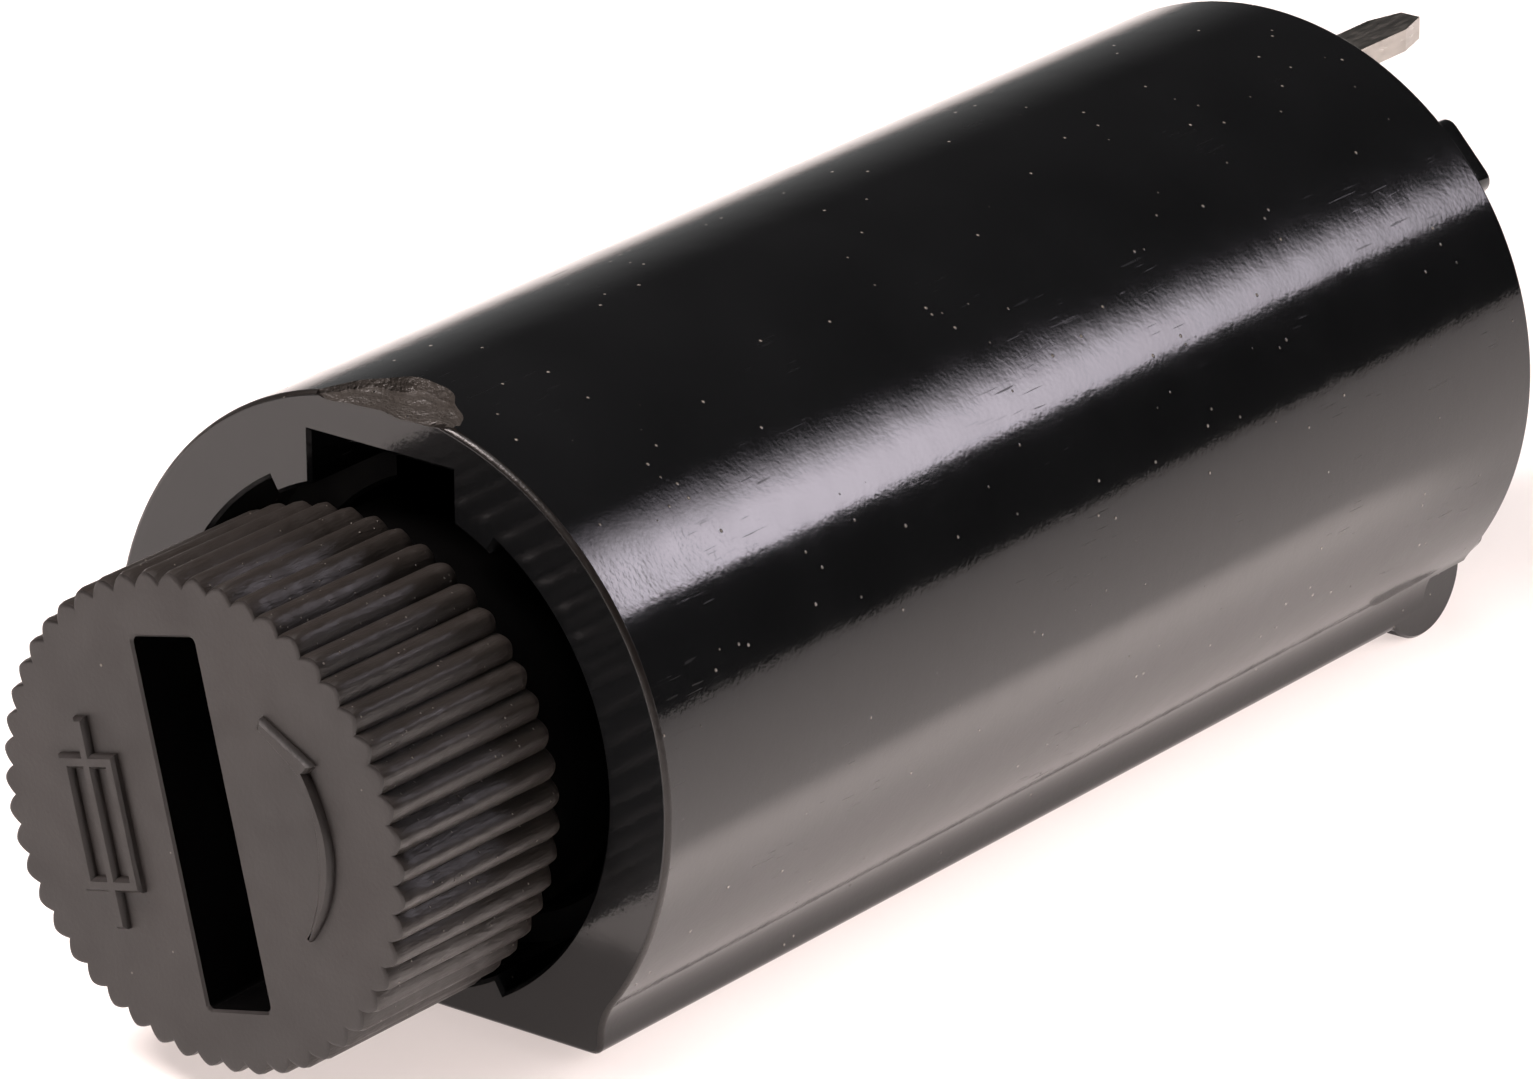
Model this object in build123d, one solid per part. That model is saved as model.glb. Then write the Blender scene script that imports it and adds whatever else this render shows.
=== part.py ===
"""Cartridge fuse holder for printed circuit boards, with a 5 x 20 mm fuse in a bayonet cap.

The holder's axis is Y. Its mouth faces -Y, its solder pins leave along +Y, and it lies on the flat
base under its round body, so +Z is up. The origin is on the axis, in the plane where the four
stand-off pads meet the board. Lengths are in millimetres. A "depth" is measured along the axis from
the housing's front face, positive towards the pins.
"""
from build123d import *
from math import asin, cos, degrees, pi, radians, sin, sqrt
import os

# Fuse, 5 x 20 mm
fuse_length = 20.0
fuse_cap_radius = 2.6
fuse_cap_length = 5.0
fuse_cap_wall = 0.2
fuse_cap_edge_radius = 0.15
glass_wall = 0.6
fuse_depth = 0.9              # of the fuse's front end
element_radius = 0.1
solder_radius = 0.8
solder_height = 0.7

# Fuse clip in the cap, and the contact ring that its fingers press on
clip_clearance = 0.08         # between the clip and the fuse's cap
clip_wall = 0.3
clip_floor = 0.3
clip_reach = 0.8              # how far the fingers stand in the contact ring
clip_slit_width = 0.5
clip_slit_count = 4
clip_slit_start_depth = 4.0
ring_clearance = 0.05         # between the contact ring and the clip
ring_wall = 0.3
ring_overrun = 0.6            # of the ring, past the fingers of a locked cap
seat_clearance = 0.02         # round the pieces that are fixed in the housing
contact_gap = 0.03            # between faces that touch on pieces that move apart

# Bayonet cap
lock_angle = 45.0
lock_travel = 0.8             # how far a locking turn draws the cap in
cap_standout = 5.5            # from the front face to the cap's face
knurl_overhang = 0.78         # of the knurling's tips, beyond the barrel
knurl_count = 50
knurl_rib_radius = 0.33
knurl_edge_chamfer = 0.3
neck_gap = 0.7                # from the back of the knurling to the front face
driver_slot_length = 7.5
driver_slot_width = 1.6
driver_slot_depth = 2.2
driver_slot_angle = 13.0      # anticlockwise from upright, seen from the front
skirt_wall = 0.97             # round the fuse clip
skirt_length = 2.5            # behind the lugs
barrel_step = 0.35            # from the skirt out to the barrel
top_lug_half_width = 1.6
top_lug_height = 1.2          # above the ledge's bore
bottom_lug_half_width = 1.2
bottom_lug_height = 0.25
lug_length = 1.55

# Housing, inside
barrel_clearance = 0.2        # between the cap's barrel and the ledge
skirt_bore_clearance = 0.25   # between the cap's bore and the skirt
skirt_end_clearance = 0.4     # behind the skirt of a locked cap
mouth_depth = 2.6
land_width = 0.645            # from the ledge's bore out to the mouth's narrower stretches
mouth_step = 0.355            # from there out to the wide mouth
land_half_angle = 31.0
mouth_edge_chamfer = 0.08
ledge_thickness = 2.0
lug_gap = 0.35                # from the ledge to the middle of a lug's sloping front face
key_slot_clearance = 0.22     # over the top lug
key_slot_side_clearance = 0.185
lug_slot_clearance = 0.1      # between the bottom lug and its slot
groove_clearance = 0.1        # round the lugs as they turn
groove_end_clearance = 0.3    # behind the lugs of a locked cap
groove_stop_margin = 0.5      # spare turn at each end of the groove, in degrees
ramp_clearance = 0.12
ramp_facets = 3
ramp_inset = 0.1              # from the ledge's bore to the ramp
ramp_start_margin = 1.0       # from the slot's edge to the ramp, in degrees
fuse_bore_clearance = 0.4     # round the fuse
rear_wall = 2.3

# Plunger, stop ring and spring
plunger_flange_clearance = 0.4    # these three from the fuse's bore
spring_clearance = 0.55
spring_seat_clearance = 0.2
plunger_flange_overhang = 1.0     # beyond the plunger's head
plunger_flange_length = 0.6
plunger_nose_radius = 0.3
plunger_spigot_clearance = 0.9    # inside the spring
plunger_spigot_length = 0.95
stop_ring_thickness = 0.5
stop_ring_bore_clearance = 0.25   # round the plunger's head
stop_ring_gap = 0.55              # from the ring to the plunger's flange with a fuse in place
stop_ring_fuse_gap = 0.15         # from the ring to the fuse of a locked cap
spring_wire = 0.45
spring_turns = 4
spring_room = 3.47                # between the plunger's flange and the spring seat
spring_seat_thickness = 0.3
spring_boss_height = 0.4
spring_boss_clearance = 0.25      # inside the spring

# Terminals
terminal_thickness = 0.5
terminal_width = 1.6
terminal_bend_radius = 0.4
pin_width = 1.0
pin_spacing = 5.08
pin_length = 5.0              # from the board's face to the pin's tip
pin_taper_length = 0.9
pin_tip_width = 0.5
end_plate_width = 3.0
end_plate_height = 2.4

# Housing, outside
top_wall = 1.08               # over the key slot
base_half_width = 5.25
base_wall_height = 0.318      # flat part of the base's side walls with the lower corner
base_blend_radius = 1.4       # between the round body and the base's side walls
base_corner_radius = 0.25
rim_radius = 0.22             # round on the front edge
rear_edge_radius = 0.1
foot_radius = 1.38            # rounded foot across the rear end of the base
foot_drop = 0.4               # how far the foot reaches below the base
pad_height = 0.5
pad_angle = 43.0              # of each stand-off pad, above and below the horizontal
pad_width = 1.8
pad_depth = 1.5               # in the radial direction
pad_corner_radius = 0.3
pad_inset = 0.12              # from the body's surface
pad_root = 1.0                # how far the pads reach into the body
gate_radius = 1.75            # half-moon left where the sprue was cut off
gate_offset = 0.5             # the gate's centre lies in front of the front face
gate_side_shift = 0.18
gate_cut = 0.25

# Radii worked out from the fuse outwards
clip_bore_radius = fuse_cap_radius + clip_clearance
clip_outer_radius = clip_bore_radius + clip_wall
ring_bore_radius = clip_outer_radius + ring_clearance
ring_outer_radius = ring_bore_radius + ring_wall
fuse_bore_radius = fuse_cap_radius + fuse_bore_clearance
skirt_radius = clip_outer_radius + skirt_wall
barrel_radius = skirt_radius + barrel_step
knurl_tip_radius = barrel_radius + knurl_overhang
ledge_bore_radius = barrel_radius + barrel_clearance
land_radius = ledge_bore_radius + land_width
mouth_radius = land_radius + mouth_step
top_lug_reach = ledge_bore_radius + top_lug_height
bottom_lug_reach = ledge_bore_radius + bottom_lug_height
key_slot_top = top_lug_reach + key_slot_clearance
key_slot_half_width = top_lug_half_width + key_slot_side_clearance
body_radius = key_slot_top + top_wall
blend_drop = sqrt((body_radius + base_blend_radius) ** 2 - (base_half_width + base_blend_radius) ** 2)
base_height = blend_drop + base_wall_height        # axis down to the flat base
plunger_flange_radius = fuse_bore_radius - plunger_flange_clearance
plunger_head_radius = plunger_flange_radius - plunger_flange_overhang
spring_outer_radius = fuse_bore_radius - spring_clearance
spring_inner_radius = spring_outer_radius - spring_wire
spring_seat_radius = fuse_bore_radius - spring_seat_clearance
plunger_spigot_radius = spring_inner_radius - plunger_spigot_clearance

# Depths worked out from the mouth inwards
knurl_end_depth = -neck_gap
ledge_end_depth = mouth_depth + ledge_thickness
lug_depth = ledge_end_depth + lug_gap
lug_end_depth = lug_depth + lug_length
groove_end_depth = lug_end_depth + lock_travel + groove_end_clearance
skirt_end_depth = lug_end_depth + skirt_length
bore_end_depth = skirt_end_depth + lock_travel + skirt_end_clearance
clip_floor_depth = fuse_depth - contact_gap - clip_floor
clip_end_depth = bore_end_depth + clip_reach
ring_length = clip_reach + lock_travel + ring_overrun
plunger_head_length = lock_travel + stop_ring_fuse_gap + stop_ring_thickness + stop_ring_gap
plunger_depth = fuse_depth + fuse_length + contact_gap
flange_depth = plunger_depth + plunger_head_length
spring_depth = flange_depth + plunger_flange_length
spring_end_depth = spring_depth + spring_room
inner_wall_depth = spring_end_depth + spring_seat_thickness
body_length = inner_wall_depth + rear_wall
front_y = -(pad_height + body_length)
rear_y = -pad_height
lug_pitch = lock_travel / radians(lock_angle)      # axial advance for each radian of turn

root = 0.3                    # how far a piece is sunk into what it is joined to
margin = 1.0                  # how far a cut runs on past what it cuts
near = 0.01                   # places closer than this are the same place


def station(depth):
    """A plane across the axis at a depth, with +X to the right and +Z up, facing the mouth."""
    return Plane(origin=(0, front_y + depth, 0), x_dir=(1, 0, 0), z_dir=(0, -1, 0))


def run(sketch, start, end):
    """A prism of the sketch from one depth to another."""
    return extrude(station(end) * sketch, amount=end - start)


def rod(radius, start, end):
    return run(Circle(radius), start, end)


def tube(outer_radius, inner_radius, start, end):
    return run(Circle(outer_radius) - Circle(inner_radius), start, end)


def block(x_from, x_to, z_from, z_to, start, end):
    """A block between two depths, with its sides given across the axis."""
    middle = Pos((x_from + x_to) / 2, (z_from + z_to) / 2)
    return run(middle * Rectangle(x_to - x_from, z_to - z_from), start, end)


def wedge(middle_angle, half_angle, reach):
    """A flat triangle from the axis outwards, wide enough to cover a sector of the given reach."""
    far = reach / cos(radians(half_angle))
    ends = [middle_angle - half_angle, middle_angle + half_angle]
    corners = [(far * cos(radians(angle)), far * sin(radians(angle))) for angle in ends]
    return make_face(Polyline((0, 0), *corners, close=True))


def body():
    """Round body joined to the flat base, with blended side walls and a rounded front edge."""
    base = Pos(0, -base_height / 2) * Rectangle(2 * base_half_width, base_height)
    below_base = Pos(0, -base_height - body_radius) * Rectangle(2 * body_radius, 2 * body_radius)
    shape = run(Circle(body_radius) - below_base + base, 0, body_length)
    sides = [e for e in shape.edges().filter_by(Axis.Y) if abs(abs(e.center().X) - base_half_width) < near]
    joins = [e for e in sides if e.center().Z > near - base_height]
    shape = fillet(joins, base_blend_radius)
    corners = [e for e in shape.edges().filter_by(Axis.Y) if e.center().Z < near - base_height]
    shape = fillet(corners, base_corner_radius)
    shape = fillet(shape.faces().sort_by(Axis.Y)[0].edges(), rim_radius)
    return fillet(shape.faces().sort_by(Axis.Y)[-1].edges(), rear_edge_radius)


def add_foot(shape):
    """Round the rear end of the base off into a bead that stands a little below it."""
    centre_z = -base_height - foot_drop + foot_radius
    centre_y = rear_y - foot_radius
    lowest = -base_height - margin
    start = body_length - foot_radius
    corner = block(-body_radius, body_radius, lowest, centre_z, start, body_length + margin)
    bead = Rot(0, 90, 0) * Cylinder(foot_radius, 2 * base_half_width)
    return shape - corner + Pos(0, centre_y, centre_z) * bead


def stand_off_pads():
    middle = body_radius - pad_inset - pad_depth / 2
    pads = []
    for angle in (pad_angle, 180 - pad_angle, 180 + pad_angle, 360 - pad_angle):
        shape = Rot(0, 0, angle) * Pos(middle, 0) * RectangleRounded(pad_depth, pad_width, pad_corner_radius)
        pads.append(run(shape, body_length - pad_root, body_length + pad_height))
    return pads


def mouth():
    """Stepped opening with a broken edge: the wide mouth, less its two lands, with the key slot."""
    wide = Circle(mouth_radius)
    for angle in (90, 270):
        wide -= wedge(angle, land_half_angle, mouth_radius)
    key_slot = Pos(0, key_slot_top / 2) * Rectangle(2 * key_slot_half_width, key_slot_top)
    outline = wide + Circle(land_radius) + key_slot
    flared = offset(outline, mouth_edge_chamfer, kind=Kind.INTERSECTION)
    flare = loft([station(0) * flared, station(mouth_edge_chamfer) * outline], ruled=True)
    return run(outline, 0, mouth_depth) + flare


def lug_groove_radius(half_width, reach):
    return sqrt(half_width ** 2 + reach ** 2) + groove_clearance


def lug_sweep(middle_angle, half_width, groove_radius):
    """The part of the groove that a lug passes through, from its slot to its locked place."""
    lug_half_angle = degrees(asin(half_width / barrel_radius))
    first = middle_angle + lug_half_angle + groove_stop_margin
    last = middle_angle - lock_angle - lug_half_angle - groove_stop_margin
    sector = wedge((first + last) / 2, (first - last) / 2, groove_radius)
    return run(sector & Circle(groove_radius), ledge_end_depth, groove_end_depth)


def lug_ramp(middle_angle, slot_half_width, groove_radius):
    """Sloping shelf behind the ledge that draws a lug in as the cap turns."""
    inner = ledge_bore_radius + ramp_inset
    outer = groove_radius + root
    start_angle = degrees(asin(slot_half_width / inner)) + ramp_start_margin
    end_angle = lock_angle + degrees(asin(slot_half_width / groove_radius))
    step = (end_angle - start_angle) / ramp_facets
    shelf = []
    for facet in range(ramp_facets):
        ends = []
        for turn in (start_angle + facet * step, start_angle + (facet + 1) * step):
            height = lug_depth - ramp_clearance + lug_pitch * radians(turn)
            angle = radians(middle_angle - turn)
            out = Vector(cos(angle), 0, sin(angle))
            low = Vector(0, front_y + ledge_end_depth - root, 0)
            high = Vector(0, front_y + height, 0)
            ends.append(make_face(Polyline(low + out * inner, low + out * outer,
                                           high + out * outer, high + out * inner, close=True)))
        shelf.append(loft(ends, ruled=True))
    return shelf


def housing():
    shape = add_foot(body()) + stand_off_pads()
    shape -= mouth()
    shape -= rod(ledge_bore_radius, 0, groove_end_depth)
    top_groove = lug_groove_radius(top_lug_half_width, top_lug_reach)
    bottom_slot_half_width = bottom_lug_half_width + lug_slot_clearance
    bottom_groove = bottom_lug_reach + lug_slot_clearance
    shape -= block(-key_slot_half_width, key_slot_half_width, 0, key_slot_top, 0, groove_end_depth)
    shape -= block(-bottom_slot_half_width, bottom_slot_half_width, -bottom_groove, 0, 0, groove_end_depth)
    shape -= lug_sweep(90, top_lug_half_width, top_groove)
    shape -= lug_sweep(270, bottom_lug_half_width, bottom_groove)
    shape += lug_ramp(90, key_slot_half_width, top_groove)
    shape += lug_ramp(270, bottom_slot_half_width, bottom_groove)
    shape -= rod(skirt_radius + skirt_bore_clearance, groove_end_depth, bore_end_depth)
    ring_seat_end = bore_end_depth + ring_length
    shape -= rod(ring_outer_radius + seat_clearance, bore_end_depth, ring_seat_end)
    shape -= rod(fuse_bore_radius, ring_seat_end, inner_wall_depth)
    shape -= terminal_channel()
    shape -= end_plate(seat_clearance)
    shape -= gate_mark()
    return shape


def gate_mark():
    """Shallow half-moon on the top of the front edge."""
    cutter = Cylinder(gate_radius, 2, align=(Align.CENTER, Align.CENTER, Align.MIN))
    return Pos(gate_side_shift, front_y - gate_offset, body_radius - gate_cut) * cutter


def terminal_channel():
    """Keyway along the fuse's bore for the side terminal, and its pin's slot in the rear wall."""
    half_thickness = terminal_thickness / 2 + seat_clearance
    half_width = terminal_width / 2 + seat_clearance
    top = pin_spacing + half_thickness
    channel = block(-half_width, half_width, 0, top, bore_end_depth, inner_wall_depth)
    half_pin = pin_width / 2 + seat_clearance
    low = pin_spacing - half_thickness
    slot = block(-half_pin, half_pin, low, top, inner_wall_depth - margin, body_length + margin)
    return channel + slot


def solder_pin(z, start):
    """Flat pin with a tapered tip, from a depth inside the housing."""
    tip_y = pin_length
    shoulder_y = tip_y - pin_taper_length
    half, half_tip = pin_width / 2, pin_tip_width / 2
    flat = Polyline((-half, front_y + start), (half, front_y + start), (half, shoulder_y),
                    (half_tip, tip_y), (-half_tip, tip_y), (-half, shoulder_y), close=True)
    return Pos(0, 0, z - terminal_thickness / 2) * extrude(make_face(flat), amount=terminal_thickness)


def side_terminal():
    """Strip along the housing wall, bent inwards at the front to meet the contact ring."""
    foot_depth = bore_end_depth + (ring_length - terminal_thickness) / 2
    half_thickness = terminal_thickness / 2
    half_width = terminal_width / 2
    top = pin_spacing + half_thickness
    strip = block(-half_width, half_width, top - terminal_thickness, top, foot_depth, inner_wall_depth)
    leg = block(-half_width, half_width, 0, top, foot_depth, foot_depth + terminal_thickness)
    bent = strip + leg
    outer_bend = [e for e in bent.edges().filter_by(Axis.X)
                  if abs(e.center().Y - front_y - foot_depth) < near and e.center().Z > pin_spacing]
    bent = fillet(outer_bend, terminal_bend_radius)
    bent -= rod(ring_outer_radius, bore_end_depth - margin, inner_wall_depth)
    return bent + solder_pin(pin_spacing, inner_wall_depth - root)


def end_plate(clearance):
    """Plate of the end terminal, let into the rear wall, and its pin's way through the wall."""
    half_width = end_plate_width / 2 + clearance
    low = -terminal_thickness / 2 - clearance
    high = end_plate_height + clearance
    end = inner_wall_depth + terminal_thickness
    plate = block(-half_width, half_width, low, high, inner_wall_depth - clearance, end)
    half_pin = pin_width / 2 + clearance
    way = block(-half_pin, half_pin, low, -low, inner_wall_depth, body_length + margin)
    return plate + way


def end_terminal():
    """Plate on the inside of the rear wall with the pin bent out of its lower edge."""
    half_width = end_plate_width / 2
    low = -terminal_thickness / 2
    end = inner_wall_depth + terminal_thickness
    plate = block(-half_width, half_width, low, end_plate_height, inner_wall_depth, end)
    return plate + solder_pin(0, inner_wall_depth)


def contact_ring():
    return tube(ring_outer_radius, ring_bore_radius, bore_end_depth, bore_end_depth + ring_length)


def spring_seat():
    """Washer with a raised centre that keeps the spring in line."""
    washer = rod(spring_seat_radius, spring_end_depth, inner_wall_depth)
    boss_radius = spring_inner_radius - spring_boss_clearance
    return washer + rod(boss_radius, spring_end_depth - spring_boss_height, spring_end_depth)


def contact_spring():
    """Round wire coiled between the plunger's flange and the spring seat."""
    start = spring_depth + contact_gap
    end = spring_end_depth - contact_gap
    coil_radius = spring_outer_radius - spring_wire / 2
    height = end - start - spring_wire
    first = (0, front_y + start + spring_wire / 2, 0)
    path = Helix(height / spring_turns, height, coil_radius, center=first, direction=(0, 1, 0))
    return sweep(Plane(path @ 0, z_dir=path % 0) * Circle(spring_wire / 2), path, is_frenet=True)


def plunger_stop_ring():
    end = flange_depth - stop_ring_gap
    bore_radius = plunger_head_radius + stop_ring_bore_clearance
    return tube(fuse_bore_radius - seat_clearance, bore_radius, end - stop_ring_thickness, end)


def contact_plunger():
    """Brass contact: head against the fuse, flange behind the stop ring, spigot inside the spring."""
    head = rod(plunger_head_radius, plunger_depth, flange_depth)
    head = fillet(head.edges().sort_by(Axis.Y)[0], plunger_nose_radius)
    flange = rod(plunger_flange_radius, flange_depth, spring_depth)
    spigot = rod(plunger_spigot_radius, spring_depth, spring_depth + plunger_spigot_length)
    return head + flange + spigot


def fuse_cap(open_end, closed_end):
    """Metal cup over one end of the glass tube; its closed end is the end of the fuse."""
    low, high = sorted((open_end, closed_end))
    cup = rod(fuse_cap_radius, low, high)
    outer_edge = [e for e in cup.edges() if abs(e.center().Y - front_y - closed_end) < near]
    cup = fillet(outer_edge, fuse_cap_edge_radius)
    towards_middle = 1 if open_end > closed_end else -1
    floor = closed_end + towards_middle * fuse_cap_wall
    low, high = sorted((open_end, floor))
    return cup - rod(fuse_cap_radius - fuse_cap_wall, low, high)


def fuse_front_cap():
    return fuse_cap(fuse_depth + fuse_cap_length, fuse_depth)


def fuse_rear_cap():
    end = fuse_depth + fuse_length
    return fuse_cap(end - fuse_cap_length, end)


def glass_radii():
    outer = fuse_cap_radius - fuse_cap_wall
    return outer, outer - glass_wall


def fuse_glass_tube():
    outer, inner = glass_radii()
    return tube(outer, inner, fuse_depth + fuse_cap_wall, fuse_depth + fuse_length - fuse_cap_wall)


def fuse_solder_beads():
    """A cone of solder inside each fuse cap, where the wire ends."""
    front = fuse_depth + fuse_cap_wall
    rear = fuse_depth + fuse_length - fuse_cap_wall
    tip_radius = 2 * element_radius
    beads = []
    for floor, tip in ((front, front + solder_height), (rear, rear - solder_height)):
        ends = [station(floor) * Circle(solder_radius), station(tip) * Circle(tip_radius)]
        beads.append(loft(ends))
    return Compound(children=beads)


def fuse_element():
    start = fuse_depth + fuse_cap_wall + solder_height
    end = fuse_depth + fuse_length - fuse_cap_wall - solder_height
    return rod(element_radius, start, end)


def knurled_head():
    """Ribs side by side round the head, cut back to a bevel at both ends."""
    rib_centre = knurl_tip_radius - knurl_rib_radius
    outline = Circle(rib_centre)
    for rib in range(knurl_count):
        turn = 2 * pi * rib / knurl_count
        outline += Pos(rib_centre * cos(turn), rib_centre * sin(turn)) * Circle(knurl_rib_radius)
    ribs = run(outline, -cap_standout, knurl_end_depth)
    blank = rod(knurl_tip_radius, -cap_standout, knurl_end_depth)
    ends = blank.edges().filter_by(GeomType.CIRCLE)
    return ribs & chamfer(ends, knurl_edge_chamfer)


def lug(middle_angle, half_width, reach):
    """Bayonet lug whose front face slopes along the ramp behind the ledge."""
    sign = 1 if middle_angle == 90 else -1
    z_from, z_to = sorted((sign * (barrel_radius - root), sign * reach))
    slope = lug_pitch / ((barrel_radius + reach) / 2)
    shape = block(-half_width, half_width, z_from, z_to, lug_depth - margin, lug_end_depth)
    low, high = z_from - margin, z_to + margin
    tool = block(-2 * half_width, 2 * half_width, low, high, lug_depth - 3 * margin, lug_depth)
    tilt = Rot(0, 0, degrees(slope) * sign)
    face_y = front_y + lug_depth
    return shape - Pos(0, face_y, 0) * tilt * Pos(0, -face_y, 0) * tool


def bayonet_cap():
    """One moulding: knurled head, barrel with two lugs, and a skirt round the fuse clip."""
    shape = knurled_head()
    shape += rod(barrel_radius, knurl_end_depth, lug_end_depth)
    shape += rod(skirt_radius, lug_end_depth, skirt_end_depth)
    shape += lug(90, top_lug_half_width, top_lug_reach)
    bottom = lug(270, bottom_lug_half_width, bottom_lug_reach + margin)
    shape += bottom & rod(bottom_lug_reach, 0, skirt_end_depth)
    slot = Rot(0, 0, driver_slot_angle) * Rectangle(driver_slot_width, driver_slot_length)
    shape -= run(slot, -cap_standout, driver_slot_depth - cap_standout)
    return shape - rod(clip_outer_radius, clip_floor_depth, skirt_end_depth)


def fuse_clip():
    """Slit metal cup fixed in the cap; its fingers reach past the skirt to the contact ring."""
    cup = rod(clip_outer_radius, clip_floor_depth, clip_end_depth)
    cup -= rod(clip_bore_radius, clip_floor_depth + clip_floor, clip_end_depth)
    for slit in range(clip_slit_count // 2):
        turn = 45 + 360 * slit / clip_slit_count
        cut = Rot(0, 0, turn) * Rectangle(clip_slit_width, 3 * clip_outer_radius)
        cup -= run(cut, clip_slit_start_depth, clip_end_depth)
    return cup


NODES = {
    "housing": housing,
    "contact_ring": contact_ring,
    "side_terminal": side_terminal,
    "end_terminal": end_terminal,
    "spring_seat": spring_seat,
    "contact_spring": contact_spring,
    "plunger_stop_ring": plunger_stop_ring,
    "contact_plunger": contact_plunger,
    "fuse_glass_tube": fuse_glass_tube,
    "fuse_front_cap": fuse_front_cap,
    "fuse_rear_cap": fuse_rear_cap,
    "fuse_element": fuse_element,
    "fuse_solder_beads": fuse_solder_beads,
    "bayonet_cap": bayonet_cap,
    "fuse_clip": fuse_clip,
}

os.makedirs("parts", exist_ok=True)
for node, make in NODES.items():
    export_step(make(), f"parts/{node}.step")
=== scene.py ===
"""Cartridge fuse holder for circuit boards, dressed round its fixed CAD frame.

The file is laid out as an add-on: sizes and colours are properties, each group of pieces has an
operator, and the panel in the 3D view's sidebar lists them. Lengths are in metres. The holder's axis
is Y, its mouth faces -Y, and a "depth" is measured along the axis from the housing's front face.
"""
import math

import bmesh
import bpy
from bpy.props import FloatProperty, FloatVectorProperty, IntProperty, PointerProperty
from mathutils import Matrix, Vector, noise


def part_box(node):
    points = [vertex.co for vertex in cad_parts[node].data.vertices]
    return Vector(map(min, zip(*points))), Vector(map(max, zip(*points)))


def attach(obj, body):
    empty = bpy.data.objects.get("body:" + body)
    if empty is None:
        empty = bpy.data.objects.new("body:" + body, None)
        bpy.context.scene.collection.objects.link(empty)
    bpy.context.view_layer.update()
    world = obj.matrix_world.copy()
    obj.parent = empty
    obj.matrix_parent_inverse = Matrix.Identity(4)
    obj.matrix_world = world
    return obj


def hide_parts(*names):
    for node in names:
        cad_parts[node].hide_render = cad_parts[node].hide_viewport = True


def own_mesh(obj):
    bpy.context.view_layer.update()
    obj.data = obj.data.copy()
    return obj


bl_info = {
    "name": "Cartridge Fuse Holder",
    "version": (1, 0, 0),
    "blender": (4, 5, 0),
    "location": "View3D > Sidebar > Fuse Holder",
    "description": "Builds the finished pieces of a board-mounted cartridge fuse holder",
    "category": "Add Mesh",
}

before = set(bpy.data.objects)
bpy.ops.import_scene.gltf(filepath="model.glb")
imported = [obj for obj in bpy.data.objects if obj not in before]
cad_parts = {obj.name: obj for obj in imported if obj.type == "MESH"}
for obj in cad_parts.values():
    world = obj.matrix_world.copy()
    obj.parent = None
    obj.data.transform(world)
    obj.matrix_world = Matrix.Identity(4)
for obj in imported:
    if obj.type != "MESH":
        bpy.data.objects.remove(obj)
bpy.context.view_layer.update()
MM = 0.001
HOUSING_LOW, HOUSING_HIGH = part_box("housing")
CAP_LOW, CAP_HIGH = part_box("bayonet_cap")
FRONT_Y = HOUSING_LOW.y
BOARD_Y = HOUSING_HIGH.y


# ---------------------------------------------------------------- properties

def size(name, value, text):
    """A length in metres, given in millimetres."""
    return FloatProperty(name=name, default=value * MM, description=text, unit="LENGTH", precision=5)


def angle(name, degrees, text):
    return FloatProperty(name=name, default=math.radians(degrees), description=text, subtype="ANGLE")


def number(name, value, text):
    return FloatProperty(name=name, default=value, description=text, precision=4)


def linear(hex_colour):
    """Linear red, green and blue from an sRGB hex value."""
    channels = [int(hex_colour[i:i + 2], 16) / 255 for i in (1, 3, 5)]
    return [c / 12.92 if c <= 0.04045 else ((c + 0.055) / 1.055) ** 2.4 for c in channels]


def colour(name, hex_colour, text):
    return FloatVectorProperty(
        name=name, default=linear(hex_colour), description=text, subtype="COLOR", size=3, min=0, max=1)


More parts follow.
